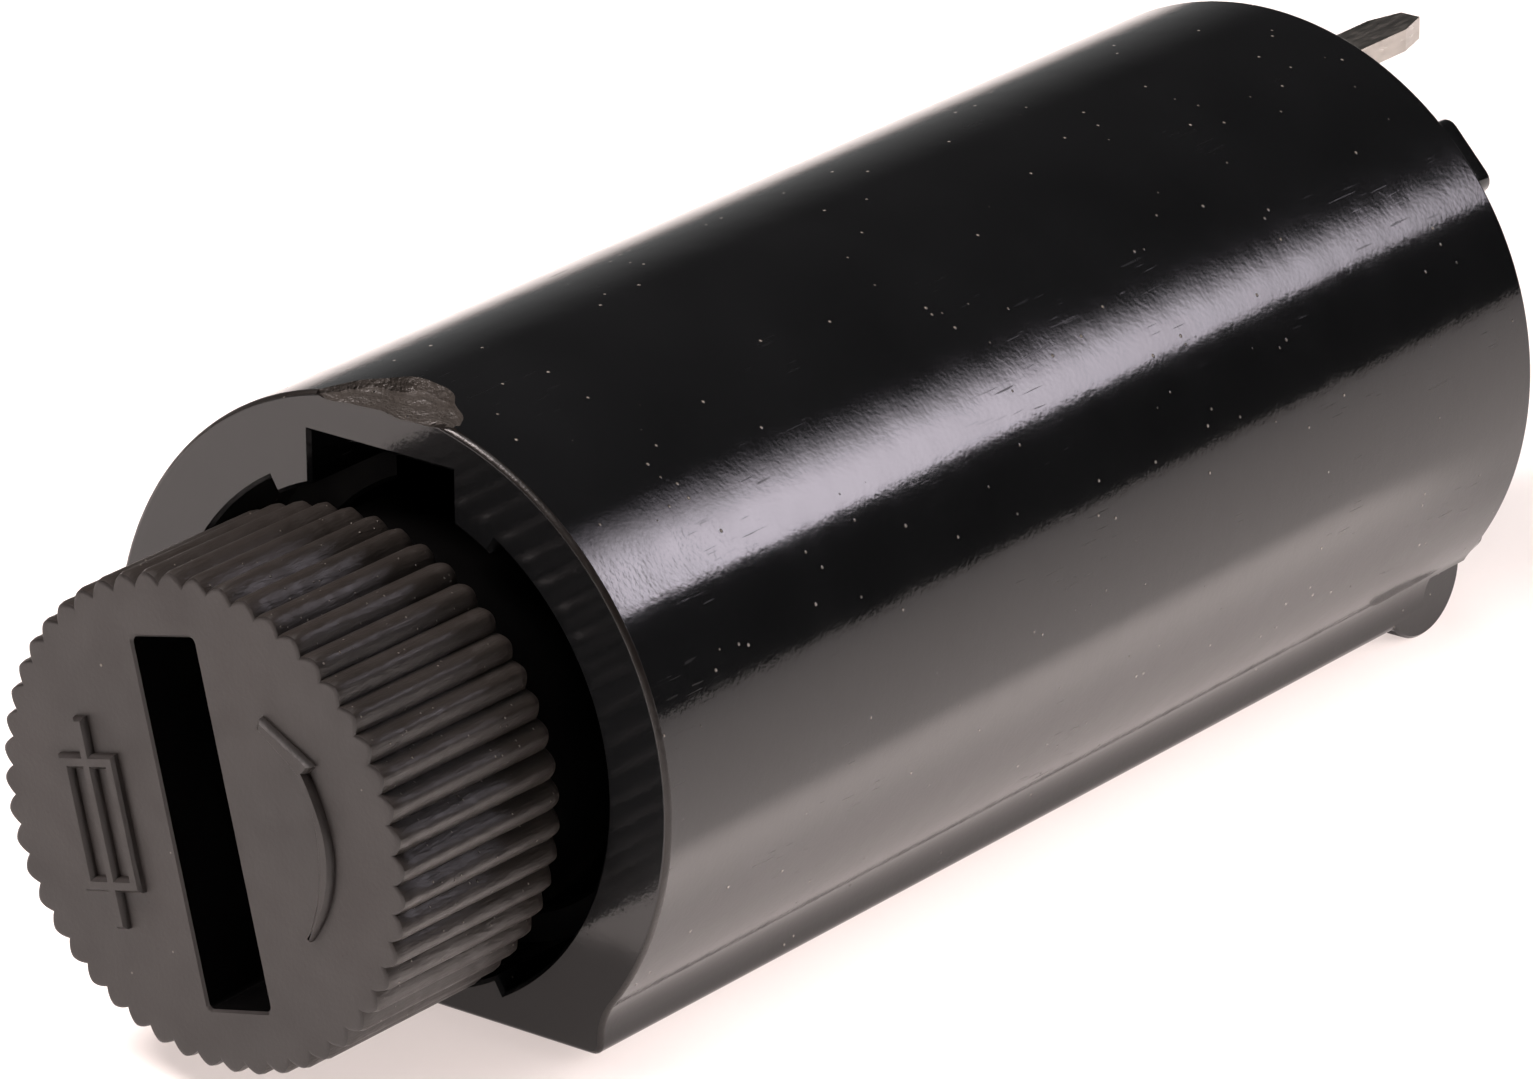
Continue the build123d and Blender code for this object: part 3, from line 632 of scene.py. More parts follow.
class MakeHousing(bpy.types.Operator):
    """Build the moulded housing with its stepped mouth, key slot, pads and foot"""
    bl_idname = "fuse_holder.housing"
    bl_label = "Housing"

    def execute(self, context):
        s = context.scene.fuse_holder_housing
        length = BOARD_Y - s.pad_height - FRONT_Y
        body = shell("housing_moulding", rounded_stations(
            lambda inset: body_outline(s, inset), 0, length, s.rim_round, s.rear_round))
        beyond = 1 * MM
        foot_z = HOUSING_LOW.z + s.foot_radius
        corner = rectangle(-s.radius, s.radius, -s.radius, foot_z)
        cut(body, shell("corner", [(length - s.foot_radius, corner), (length + beyond, corner)]))
        join(body, bead(s))
        root, top = length - s.pad_root, length + s.pad_height
        for turn in (s.pad_angle, math.pi - s.pad_angle, math.pi + s.pad_angle, -s.pad_angle):
            join(body, shell("pad", rounded_stations(
                lambda inset: pad_outline(s, turn, inset), root, top, 0.05 * MM, 0.08 * MM, 3)))
        self.bore(s, body, length, beyond)
        cut(body, gate_tool(s))
        finish_piece(body, "housing", "black_moulding", housing_moulding(), "housing")
        self.finish_by_place(s, body, length)
        return {"FINISHED"}

    def finish_by_place(self, s, body, length):
        """Dulls the torn gate and the broken front edge, and paints shade onto the faces behind the mouth
        with a near-black, weakly reflecting finish.
        """
        finishes = bpy.context.scene.fuse_holder_finishes
        hair, play = 0.004 * MM, 0.02 * MM
        gate = Vector((s.gate_shift, s.gate_offset))
        skin = s.radius - 0.012 * MM
        wall, wall_middle = 0.93 * s.radius, length - 0.5 * s.rear_wall

        def torn(face):
            x, depth, z = spot_of(face)
            near = (Vector((x, depth)) - gate).length < 1.2 * s.gate_radius
            return near and depth > hair and z > 0.9 * s.radius and math.hypot(x, z) < skin

        def front_edge(face):
            x, depth, z = spot_of(face)
            return hair < depth < s.rim_round and math.hypot(x, z) > s.radius - 1.1 * s.rim_round

        # Picks the faces behind the mouth that get the painted shade.
        def inside(face):
            x, depth, z = spot_of(face)
            return s.mouth_depth - play < depth < wall_middle and math.hypot(x, z) < wall

        rough = moulding("torn_pbt", finishes.torn, 0.4, 0.09 * MM, 0.05 * MM, speck_share=0.4)
        refinish(body, rough, torn)
        dull = moulding("worn_pbt", finishes.worn, 0.34, 0.06 * MM, 0.01 * MM, speck_share=0.4)
        refinish(body, dull, front_edge)
        # Painted shade: the faces behind the mouth get a near-black finish with weak reflections in place
        # of the shade that falls there.
        matt = moulding("recess_painted_shade_pbt", finishes.recess_painted_shade, 0.6, 0.1 * MM, 0.003 * MM, sheen=0.12)
        refinish(body, matt, inside)

    def bore(self, s, body, length, beyond):
        """Cuts the mouth, the ledge, the bayonet groove, the bores and the terminals' ways."""
        mouth = mouth_outline(s)
        flare = s.mouth_chamfer
        flared = grown(mouth, 2 * flare)
        cut(body, shell("mouth", [(-flare, flared), (flare, mouth), (s.mouth_depth, mouth)]))
        inside = s.mouth_depth - 0.05 * MM
        wall_end = length - s.rear_wall
        steps = [(inside, 0), (inside, s.ledge_radius + flare + 0.05 * MM),
                 (s.mouth_depth + flare, s.ledge_radius), (s.groove_end, s.ledge_radius),
                 (s.groove_end, s.cap_bore), (s.cap_bore_end, s.cap_bore), (s.cap_bore_end, s.ring_seat),
                 (s.ring_seat_end, s.ring_seat), (s.ring_seat_end, s.fuse_bore), (wall_end, s.fuse_bore),
                 (wall_end, 0)]
        cut(body, turned("bores", steps))
        upper = rectangle(-s.slot_half_width, s.slot_half_width, s.cap_bore * 0.9, s.slot_top)
        cut(body, shell("key_slot", [(inside, upper), (s.groove_end, upper)]))
        half_slot = s.low_slot_half_width
        lower = rectangle(-half_slot, half_slot, -s.low_groove_radius, -s.cap_bore * 0.9)
        cut(body, shell("lower_slot", [(inside, lower), (s.groove_end, lower)]))
        # Degrees that each groove runs on from the middle of its slot, one way and the other.
        short_way, lug_way = 18, 66
        for radius, middle in ((s.groove_radius, 90), (s.low_groove_radius, 270)):
            slice_of = sector(radius, middle + short_way, middle - lug_way)
            cut(body, shell("groove", [(s.ledge_end, slice_of), (s.groove_end, slice_of)]))
        self.terminal_ways(s, body, wall_end, length, beyond)

    def terminal_ways(self, s, body, wall_end, length, beyond):
        """Cuts the side strip's keyway and both pins' slots to fit the terminals."""
        play = 0.02 * MM
        low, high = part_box("side_terminal")
        keyway = rectangle(low.x - play, high.x + play, 0, high.z + play)
        cut(body, shell("keyway", [(s.cap_bore_end - play, keyway), (wall_end, keyway)]))
        thickness = 0.5 * MM
        half_pin = 0.5 * MM + play
        for top in (high.z, thickness / 2):
            way = rectangle(-half_pin, half_pin, top - thickness - play, top + play)
            cut(body, shell("pin_way", [(wall_end - beyond, way), (length + beyond, way)]))


# ---------------------------------------------------------------- bayonet cap

def rib_tile(s, tip_radius, front, rear):
    """One rib of the knurling with half a valley on each side, along the whole head."""
    columns, rows = 12, 18
    pitch = math.tau / s.rib_count
    mesh = bmesh.new()
    grid = []
    for row in range(rows + 1):
        share = row / rows
        share = share * share * (3 - 2 * share)
        depth = front + (rear - front) * share
        drop = 0
        for distance, round_off in ((depth - front, s.rib_front_round), (rear - depth, s.rib_rear_round)):
            left = max(1 - distance / round_off, 0)
            drop += round_off * (1 - math.sqrt(1 - left * left))
        line = []
        for column in range(columns + 1):
            across = column / columns - 0.5
            crown = 1 - (2 * abs(across)) ** 1.7
            radius = tip_radius - s.rib_height * (1 - crown) - drop
            turn = pitch * across
            line.append(mesh.verts.new((radius * math.sin(turn), at(depth), radius * math.cos(turn))))
        grid.append(line)
    for near, far in zip(grid, grid[1:]):
        for column in range(columns):
            mesh.faces.new((near[column], near[column + 1], far[column + 1], far[column]))
    return piece_from("knurl_tile", mesh)


def repeat_round_axis(material):
    """Node tree that repeats the incoming geometry round the Y axis and welds it into one band."""
    tree = bpy.data.node_groups.new("Repeat round axis", "GeometryNodeTree")
    face = tree.interface
    face.new_socket("Geometry", in_out="INPUT", socket_type="NodeSocketGeometry")
    count = face.new_socket("Count", in_out="INPUT", socket_type="NodeSocketInt")
    face.new_socket("Geometry", in_out="OUTPUT", socket_type="NodeSocketGeometry")
    given = add_node(tree, "NodeGroupInput")
    points = add_node(tree, "GeometryNodePoints", {"Count": given.outputs["Count"]})
    order = add_node(tree, "GeometryNodeInputIndex")
    step = calc(tree, "DIVIDE", math.tau, given.outputs["Count"])
    turn = calc(tree, "MULTIPLY", order.outputs[0], step)
    spin = add_node(tree, "ShaderNodeCombineXYZ", {"Y": turn})
    placed = add_node(tree, "GeometryNodeInstanceOnPoints", {
        "Points": points.outputs[0], "Instance": given.outputs["Geometry"], "Rotation": spin.outputs[0]})
    real = add_node(tree, "GeometryNodeRealizeInstances", {"Geometry": placed.outputs[0]})
    weld = add_node(tree, "GeometryNodeMergeByDistance", {
        "Geometry": real.outputs[0], "Distance": 0.002 * MM})
    dressed = add_node(tree, "GeometryNodeSetMaterial", {"Geometry": weld.outputs[0], "Material": material})
    add_node(tree, "NodeGroupOutput", {"Geometry": dressed.outputs[0]})
    return tree, count.identifier


def closed_head(band, name, rings):
    """Closes the knurled band with its face, and with turned rings behind it down to the axis."""
    mesh = bmesh.new()
    mesh.from_mesh(band.data)
    open_edges = [e for e in mesh.edges if e.is_boundary]
    middle_y = sum(v.co.y for v in mesh.verts) / len(mesh.verts)
    loops = []
    for wanted in (lambda y: y < middle_y, lambda y: y > middle_y):
        found = {v for e in open_edges for v in e.verts if wanted(v.co.y)}
        loops.append(sorted(found, key=lambda v: math.atan2(v.co.z, v.co.x)))
    mesh.faces.new(loops[0])
    last = loops[1]
    turns = [math.atan2(v.co.z, v.co.x) for v in last]
    for depth, radius in rings:
        row = [mesh.verts.new((radius * math.cos(t), at(depth), radius * math.sin(t))) for t in turns]
        for i in range(len(row)):
            mesh.faces.new((last[i - 1], last[i], row[i], row[i - 1]))
        last = row
    mesh.faces.new(last)
    bpy.data.meshes.remove(band.data)
    return piece_from(name, mesh)


def lug(s, name, half_width, reach, sign):
    """A bayonet lug with bevelled edges and a sloping front face."""
    slope = 0.2
    inner = s.barrel_radius - 0.3 * MM
    low_z, high_z = sorted((sign * inner, sign * reach))
    mesh = bmesh.new()
    corners = {}
    for x in (-half_width, half_width):
        lean = s.lug_start + slope * x * sign
        for z in (low_z, high_z):
            corners[x, z] = [mesh.verts.new((x, at(depth), z)) for depth in (lean, s.lug_end)]
    order = [(-half_width, low_z), (half_width, low_z), (half_width, high_z), (-half_width, high_z)]
    for i in range(4):
        a, b = corners[order[i - 1]], corners[order[i]]
        mesh.faces.new((a[0], b[0], b[1], a[1]))
    mesh.faces.new([corners[key][0] for key in order])
    mesh.faces.new([corners[key][1] for key in order])
    bmesh.ops.bevel(mesh, geom=mesh.edges[:], offset=0.12 * MM, segments=3, profile=0.5, affect="EDGES")
    return piece_from(name, mesh)


def slot_outline(s, inset):
    """The screwdriver slot, moved outwards by a negative inset."""
    half_width, half_length = s.slot_width / 2 - inset, s.slot_length / 2 - inset
    corner = 0.12 * MM
    points = []
    for sign_x, sign_z, start in ((1, 1, 90), (1, -1, 0), (-1, -1, -90), (-1, 1, -180)):
        centre = (sign_x * (half_width - corner), sign_z * (half_length - corner))
        points += arc(centre, corner, start, start - 90, 4)
    spin = Matrix.Rotation(s.slot_angle, 2)
    return [tuple(spin @ Vector(point)) for point in points]


def raised_mark(name, outline, face_depth, relief):
    """A low raised shape on the cap's face with softened edges, rooted a little way into the face."""
    root = 0.05 * MM
    soft = 0.4 * relief
    stations = [(face_depth - relief, grown(outline, -soft)), (face_depth - relief + soft, outline),
                (face_depth + root, grown(outline, 0.3 * soft))]
    return shell(name, stations)


def arrow_outline():
    """A curved arrow that tapers to its tail and points anticlockwise, for the way to unlock."""
    mean, tail, neck, tip = 3.19 * MM, -31, 33, 58
    steps = 24
    outer, inner = [], []
    for step in range(steps + 1):
        share = step / steps
        turn = math.radians(tail + (neck - tail) * share)
        half = (0.03 + 0.12 * math.sin(math.pi * min(0.95 * share + 0.02, 0.8))) * MM
        outer.append(((mean + half) * math.cos(turn), (mean + half) * math.sin(turn)))
        inner.append(((mean - half) * math.cos(turn), (mean - half) * math.sin(turn)))
    barb, point = math.radians(neck + 1), math.radians(tip)
    corners = [(mean + 0.34 * MM, barb), (3.12 * MM, point), (2.88 * MM, point - 0.02),
               (mean - 0.18 * MM, barb + 0.08)]
    head = [(radius * math.cos(turn), radius * math.sin(turn)) for radius, turn in corners]
    ring = outer + head + inner[::-1]
    return ring[::-1]


def bar_outline(start, end, half_width):
    """A straight stroke between two points with square ends."""
    along = (Vector(end) - Vector(start)).normalized() * half_width
    side = Vector((-along.y, along.x))
    corners = [Vector(start) - along + side, Vector(end) + along + side,
               Vector(end) + along - side, Vector(start) - along - side]
    return [tuple(corner) for corner in corners]


def symbol_strokes(s):
    """The general fuse symbol: a box with a line right through it, beside and along the driver slot."""
    half_length, half_height, lead = 1.25 * MM, 0.6 * MM, 0.75 * MM
    half_stroke = 0.14 * MM
    spin = Matrix.Rotation(s.slot_angle, 2)
    middle = spin @ Vector((-2.55 * MM, 0))
    strokes = []
    ends = [((half_height, -half_length), (half_height, half_length)),
            ((-half_height, -half_length), (-half_height, half_length)),
            ((-half_height, half_length), (half_height, half_length)),
            ((-half_height, -half_length), (half_height, -half_length)),
            ((0, -half_length - lead), (0, half_length + lead))]
    for start, end in ends:
        strokes.append(bar_outline(middle + spin @ Vector(start), middle + spin @ Vector(end), half_stroke))
    return strokes


class MakeCap(bpy.types.Operator):
    """Build the bayonet cap with its knurling, driver slot, arrow, fuse symbol, barrel and lugs"""
    bl_idname = "fuse_holder.cap"
    bl_label = "Bayonet cap"

    def execute(self, context):
        s = context.scene.fuse_holder_cap
        material = cap_moulding()
        face = depth_of(CAP_LOW.y)
        tile = rib_tile(s, CAP_HIGH.x, face, -s.neck_gap)
        tree, count_input = repeat_round_axis(material)
        repeat = tile.modifiers.new("Knurling", "NODES")
        repeat.node_group = tree
        repeat[count_input] = s.rib_count
        flattened(tile)
        skirt_end = depth_of(CAP_HIGH.y)
        clip_low, clip_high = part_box("fuse_clip")
        bore, floor = clip_high.x, depth_of(clip_low.y)
        edge = 0.15 * MM
        rings = [(-s.neck_gap, s.barrel_radius), (s.lug_end, s.barrel_radius), (s.lug_end, s.skirt_radius),
                 (skirt_end - edge, s.skirt_radius), (skirt_end, s.skirt_radius - edge), (skirt_end, bore),
                 (floor, bore)]
        cap = closed_head(tile, "bayonet_cap_moulding", rings)
        join(cap, lug(s, "upper_lug", s.lug_half_width, s.lug_reach, 1))
        join(cap, lug(s, "lower_lug", s.low_lug_half_width, s.low_lug_reach, -1))
        broken = 0.05 * MM
        cut(cap, shell("driver_slot", [
            (face - broken, slot_outline(s, -2 * broken)), (face + broken, slot_outline(s, 0)),
            (face + s.slot_depth, slot_outline(s, 0.03 * MM))]))
        join(cap, raised_mark("arrow", arrow_outline(), face, s.relief))
        for stroke in symbol_strokes(s):
            join(cap, raised_mark("stroke", stroke, face, s.relief))
        finish_piece(cap, "cap", "cap_moulding", material, "bayonet_cap", sharp=math.radians(38))
        self.finish_by_place(s, cap, face)
        return {"FINISHED"}

    def finish_by_place(self, s, cap, front):
        """Scuffs the ribs, and paints shade into the driver slot and onto the barrel with a near-black,
        glossier finish.
        """
        finishes = bpy.context.scene.fuse_holder_finishes
        unspin = Matrix.Rotation(-s.slot_angle, 2)
        valley = CAP_HIGH.x - s.rib_height
        play = 0.02 * MM

        def knurled(face):
            x, depth, z = spot_of(face)
            side_on = math.hypot(x, z) > valley - 0.05 * MM and abs(face.normal.y) < 0.8
            return depth < -s.neck_gap and side_on

        def in_slot(x, depth, z):
            across, along = unspin @ Vector((x, z))
            near = abs(across) < s.slot_width / 2 + play and abs(along) < s.slot_length / 2 + play
            return near and front + 0.06 * MM < depth < front + s.slot_depth + play

        # Picks the driver slot and everything behind the head, which get the painted shade.
        def smooth(face):
            x, depth, z = spot_of(face)
            return in_slot(x, depth, z) or depth > -s.neck_gap - play

        scuffed = moulding("scuffed_pbt", finishes.scuffed, 0.4, 0.06 * MM, 0.014 * MM, 0.02 * MM, 0.4,
                           scratches=1.5, lie=(1, 0.2, 1))
        refinish(cap, scuffed, knurled)
        # Painted shade: a near-black finish darkens the driver slot and the barrel, where shade falls.
        slot_and_barrel_painted_shade = moulding("slot_and_barrel_shade_pbt", finishes.slot_and_barrel_painted_shade, 0.2, 0.1 * MM, 0.002 * MM)
        refinish(cap, slot_and_barrel_painted_shade, smooth)


# ---------------------------------------------------------------- contacts and fuse

def reach_of(node):
    """Front depth, rear depth and outer radius of a turned CAD node."""
    low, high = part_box(node)
    return depth_of(low.y), depth_of(high.y), high.x


def ring_profile(front, rear, outer, inner, edge):
    """A ring with its outer edges broken."""
    return [(front, inner), (front, outer - edge), (front + edge, outer), (rear - edge, outer),
            (rear, outer - edge), (rear, inner)]


def coil_tree(material):
    """Node tree for a round-wire coil spring that stands on its end along Z."""
    tree = bpy.data.node_groups.new("Coil spring", "GeometryNodeTree")
    sockets = {}
    for name in ("Turns", "Coil radius", "Height", "Wire radius"):
        socket = tree.interface.new_socket(name, in_out="INPUT", socket_type="NodeSocketFloat")
        sockets[name] = socket.identifier
    tree.interface.new_socket("Geometry", in_out="OUTPUT", socket_type="NodeSocketGeometry")
    given = add_node(tree, "NodeGroupInput")
    line = add_node(tree, "GeometryNodeCurveSpiral", {
        "Resolution": 64, "Rotations": given.outputs["Turns"], "Start Radius": given.outputs["Coil radius"],
        "End Radius": given.outputs["Coil radius"], "Height": given.outputs["Height"]})
    wire = add_node(tree, "GeometryNodeCurvePrimitiveCircle", {
        "Resolution": 16, "Radius": given.outputs["Wire radius"]}, mode="RADIUS")
    swept = add_node(tree, "GeometryNodeCurveToMesh", {
        "Curve": line.outputs[0], "Profile Curve": wire.outputs[0], "Fill Caps": True})
    real = add_node(tree, "GeometryNodeRealizeInstances", {"Geometry": swept.outputs[0]})
    dressed = add_node(tree, "GeometryNodeSetMaterial", {"Geometry": real.outputs[0], "Material": material})
    add_node(tree, "NodeGroupOutput", {"Geometry": dressed.outputs[0]})
    return tree, sockets


class MakeSpring(bpy.types.Operator):
    """Build the contact spring from its turns, radii and height"""
    bl_idname = "fuse_holder.spring"
    bl_label = "Contact spring"

    def execute(self, context):
        front, rear, outer = reach_of("contact_spring")
        wire_radius = 0.225 * MM
        material = finish_material("drawn_spring_wire")
        tree, sockets = coil_tree(material)
        holder = piece_from("contact_spring_wire", bmesh.new())
        coil = holder.modifiers.new("Coil", "NODES")
        coil.node_group = tree
        height = rear - front - 2.2 * wire_radius
        sizes = {"Turns": 4.0, "Coil radius": outer - wire_radius, "Height": height,
                 "Wire radius": wire_radius}
        for name, value in sizes.items():
            coil[sockets[name]] = value
        flattened(holder)
        laid_down = Matrix.Rotation(-math.pi / 2, 4, "X")
        holder.data.transform(Matrix.Translation((0, at(front + 1.1 * wire_radius), 0)) @ laid_down)
        finish_piece(holder, "housing", "spring_steel", material, "contact_spring")
        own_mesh(holder)
        return {"FINISHED"}


class MakeContacts(bpy.types.Operator):
    """Build the contact ring, plunger, spring seat and stop ring, and finish the two terminals"""
    bl_idname = "fuse_holder.contacts"
    bl_label = "Contacts"

    def execute(self, context):
        nickel, brass = finish_material("nickel_plated_brass"), finish_material("turned_brass")
        edge = 0.06 * MM
        front, rear, outer = reach_of("contact_ring")
        ring = turned("contact_ring_band", ring_profile(front, rear, outer, outer - 0.3 * MM, edge))
        finish_piece(ring, "housing", "nickel_plate", nickel, "contact_ring")
        front, rear, outer = reach_of("plunger_stop_ring")
        stop = turned("stop_ring_washer", ring_profile(front, rear, outer, 1.85 * MM, edge))
        finish_piece(stop, "housing", "fibre", finish_material("vulcanised_fibre"), "plunger_stop_ring")
        front, rear, outer = reach_of("spring_seat")
        boss = 1.75 * MM
        seat = turned("spring_seat_washer", [
            (front, 0), (front, boss - 0.15 * MM), (front + 0.15 * MM, boss), (front + 0.4 * MM, boss),
            (front + 0.4 * MM, outer - edge), (front + 0.4 * MM + edge, outer), (rear, outer), (rear, 0)])
        finish_piece(seat, "housing", "nickel_plate", nickel, "spring_seat")
        self.plunger(brass)
        tin = finish_material("tinned_brass_strip")
        for name in ("side_terminal", "end_terminal"):
            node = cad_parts[name]
            node.data.materials.clear()
            node.data.materials.append(tin)
        return {"FINISHED"}

    def plunger(self, brass):
        """Turned brass contact with a domed nose, a flange and a spigot."""
        front, rear, flange = reach_of("contact_plunger")
        head, spigot = 1.6 * MM, 1.1 * MM
        flange_front, flange_rear = front + 2.0 * MM, front + 2.6 * MM
        edge = 0.08 * MM
        nose = [(front, 0)] + [(front + 0.3 * MM * (1 - math.cos(t)), head - 0.3 * MM * (1 - math.sin(t)))
                               for t in (math.pi / 2 * k / 5 for k in range(6))]
        profile = nose + [
            (flange_front, head), (flange_front, flange - edge), (flange_front + edge, flange),
            (flange_rear - edge, flange), (flange_rear, flange - edge), (flange_rear, spigot),
            (rear - 2 * edge, spigot), (rear, spigot - 2 * edge), (rear, 0)]
        turning = turned("contact_plunger_turning", profile)
        finish_piece(turning, "plunger", "brass", brass, "contact_plunger")


class MakeFuse(bpy.types.Operator):
    """Build the glass cartridge fuse with its end caps, wire and solder, and the clip that grips it"""
    bl_idname = "fuse_holder.fuse"
    bl_label = "Fuse and clip"

    def execute(self, context):
        nickel = finish_material("nickel_plated_brass")
        self.clip(nickel)
        front, rear, outer = reach_of("fuse_glass_tube")
        tube = ring_profile(front, rear, outer - 0.01 * MM, outer - 0.6 * MM, 0.1 * MM)
        clear = finish_material("soda_lime_glass_tube")
        finish_piece(turned("fuse_glass", tube), "fuse", "clear_glass", clear, "fuse_glass_tube")
        for name, node, closed_first in (("fuse_end_cap_front", "fuse_front_cap", True),
                                         ("fuse_end_cap_rear", "fuse_rear_cap", False)):
            near, far, radius = reach_of(node)
            closed, opened = (near, far) if closed_first else (far, near)
            cup = turned(name, self.cap_profile(closed, opened, radius))
            finish_piece(cup, "fuse", "nickel_plate", nickel, node)
        self.wire()
        return {"FINISHED"}

    def cap_profile(self, closed, opened, radius):
        """A drawn cup with a rounded shoulder, a shallow rolled groove and a rolled lip."""
        wall, shoulder, groove = 0.2 * MM, 0.28 * MM, 0.06 * MM
        way = 1 if opened > closed else -1
        outside = [(closed, 0)] + [
            (closed + way * shoulder * (1 - math.cos(t)), radius - shoulder * (1 - math.sin(t)))
            for t in (math.pi / 2 * k / 6 for k in range(7))]
        for k in range(9):
            share = k / 8
            middle = closed + way * (3.6 + 0.6 * (share - 0.5)) * MM
            outside.append((middle, radius - groove * (1 - math.cos(math.tau * share)) / 2))
        lip = [(opened - way * 0.08 * MM, radius), (opened, radius - 0.08 * MM), (opened, radius - wall)]
        inside = [(closed + way * wall, radius - wall), (closed + way * wall, 0)]
        return outside + lip + inside

    def clip(self, nickel):
        """Drawn cup slit into springy fingers, with the edges of its open rim broken."""
        front, rear, outer = reach_of("fuse_clip")
        wall, edge = 0.3 * MM, 0.08 * MM
        profile = [(front, 0), (front, outer - 0.2 * MM), (front + 0.06 * MM, outer - 0.06 * MM),
                   (front + 0.2 * MM, outer), (rear - edge, outer), (rear, outer - edge),
                   (rear, outer - wall + edge), (rear - edge, outer - wall), (front + wall, outer - wall),
                   (front + wall, 0)]
        cup = turned("fuse_clip_cup", profile)
        for turn in (45, 135):
            spin = Matrix.Rotation(math.radians(turn), 2)
            strip = rectangle(-0.25 * MM, 0.25 * MM, -4 * MM, 4 * MM)
            slit = [tuple(spin @ Vector(point)) for point in strip]
            cut(cup, shell("slit", [(4.0 * MM, slit), (rear + MM, slit)]))
        finish_piece(cup, "cap", "nickel_plate", nickel, "fuse_clip")

    def wire(self):
        """Fine wire on the axis between two beads of solder."""
        front, rear, radius = reach_of("fuse_element")
        wire = turned("fuse_wire", [(front, 0), (front, radius), (rear, radius), (rear, 0)], 16)
        finish_piece(wire, "fuse", "fuse_wire", finish_material("drawn_spring_wire"), "fuse_element")
        start, end, base = reach_of("fuse_solder_beads")
        solder = finish_material("soft_solder")
        for name, foot, tip in (("solder_bead_front", start, front), ("solder_bead_rear", end, rear)):
            dome = [(foot + (tip - foot) * math.sin(t), base * math.cos(t) + radius * 1.2 * math.sin(t))
                    for t in (math.pi / 2 * k / 8 for k in range(9))]
            bead_piece = turned(name, [(foot, 0), *dome, (tip, 0)], 48)
            finish_piece(bead_piece, "fuse", "solder", solder, "fuse_solder_beads")


# ---------------------------------------------------------------- stage

def softbox(name, aim, direction, distance, width, height, power, tint=(1, 1, 1)):
    """An area light that looks at a point from a direction and doesn't show itself."""
    data = bpy.data.lights.new(name, "AREA")
    data.shape = "RECTANGLE"
    data.size, data.size_y = width, height
    data.energy = power
    data.color = tint
    lamp = bpy.data.objects.new(name, data)
    bpy.context.scene.collection.objects.link(lamp)
    back = Vector(direction).normalized()
    lamp.location = Vector(aim) + back * distance
    lamp.rotation_mode = "QUATERNION"
    lamp.rotation_quaternion = back.to_track_quat("Z", "Y")
    lamp.visible_camera = False
    return lamp


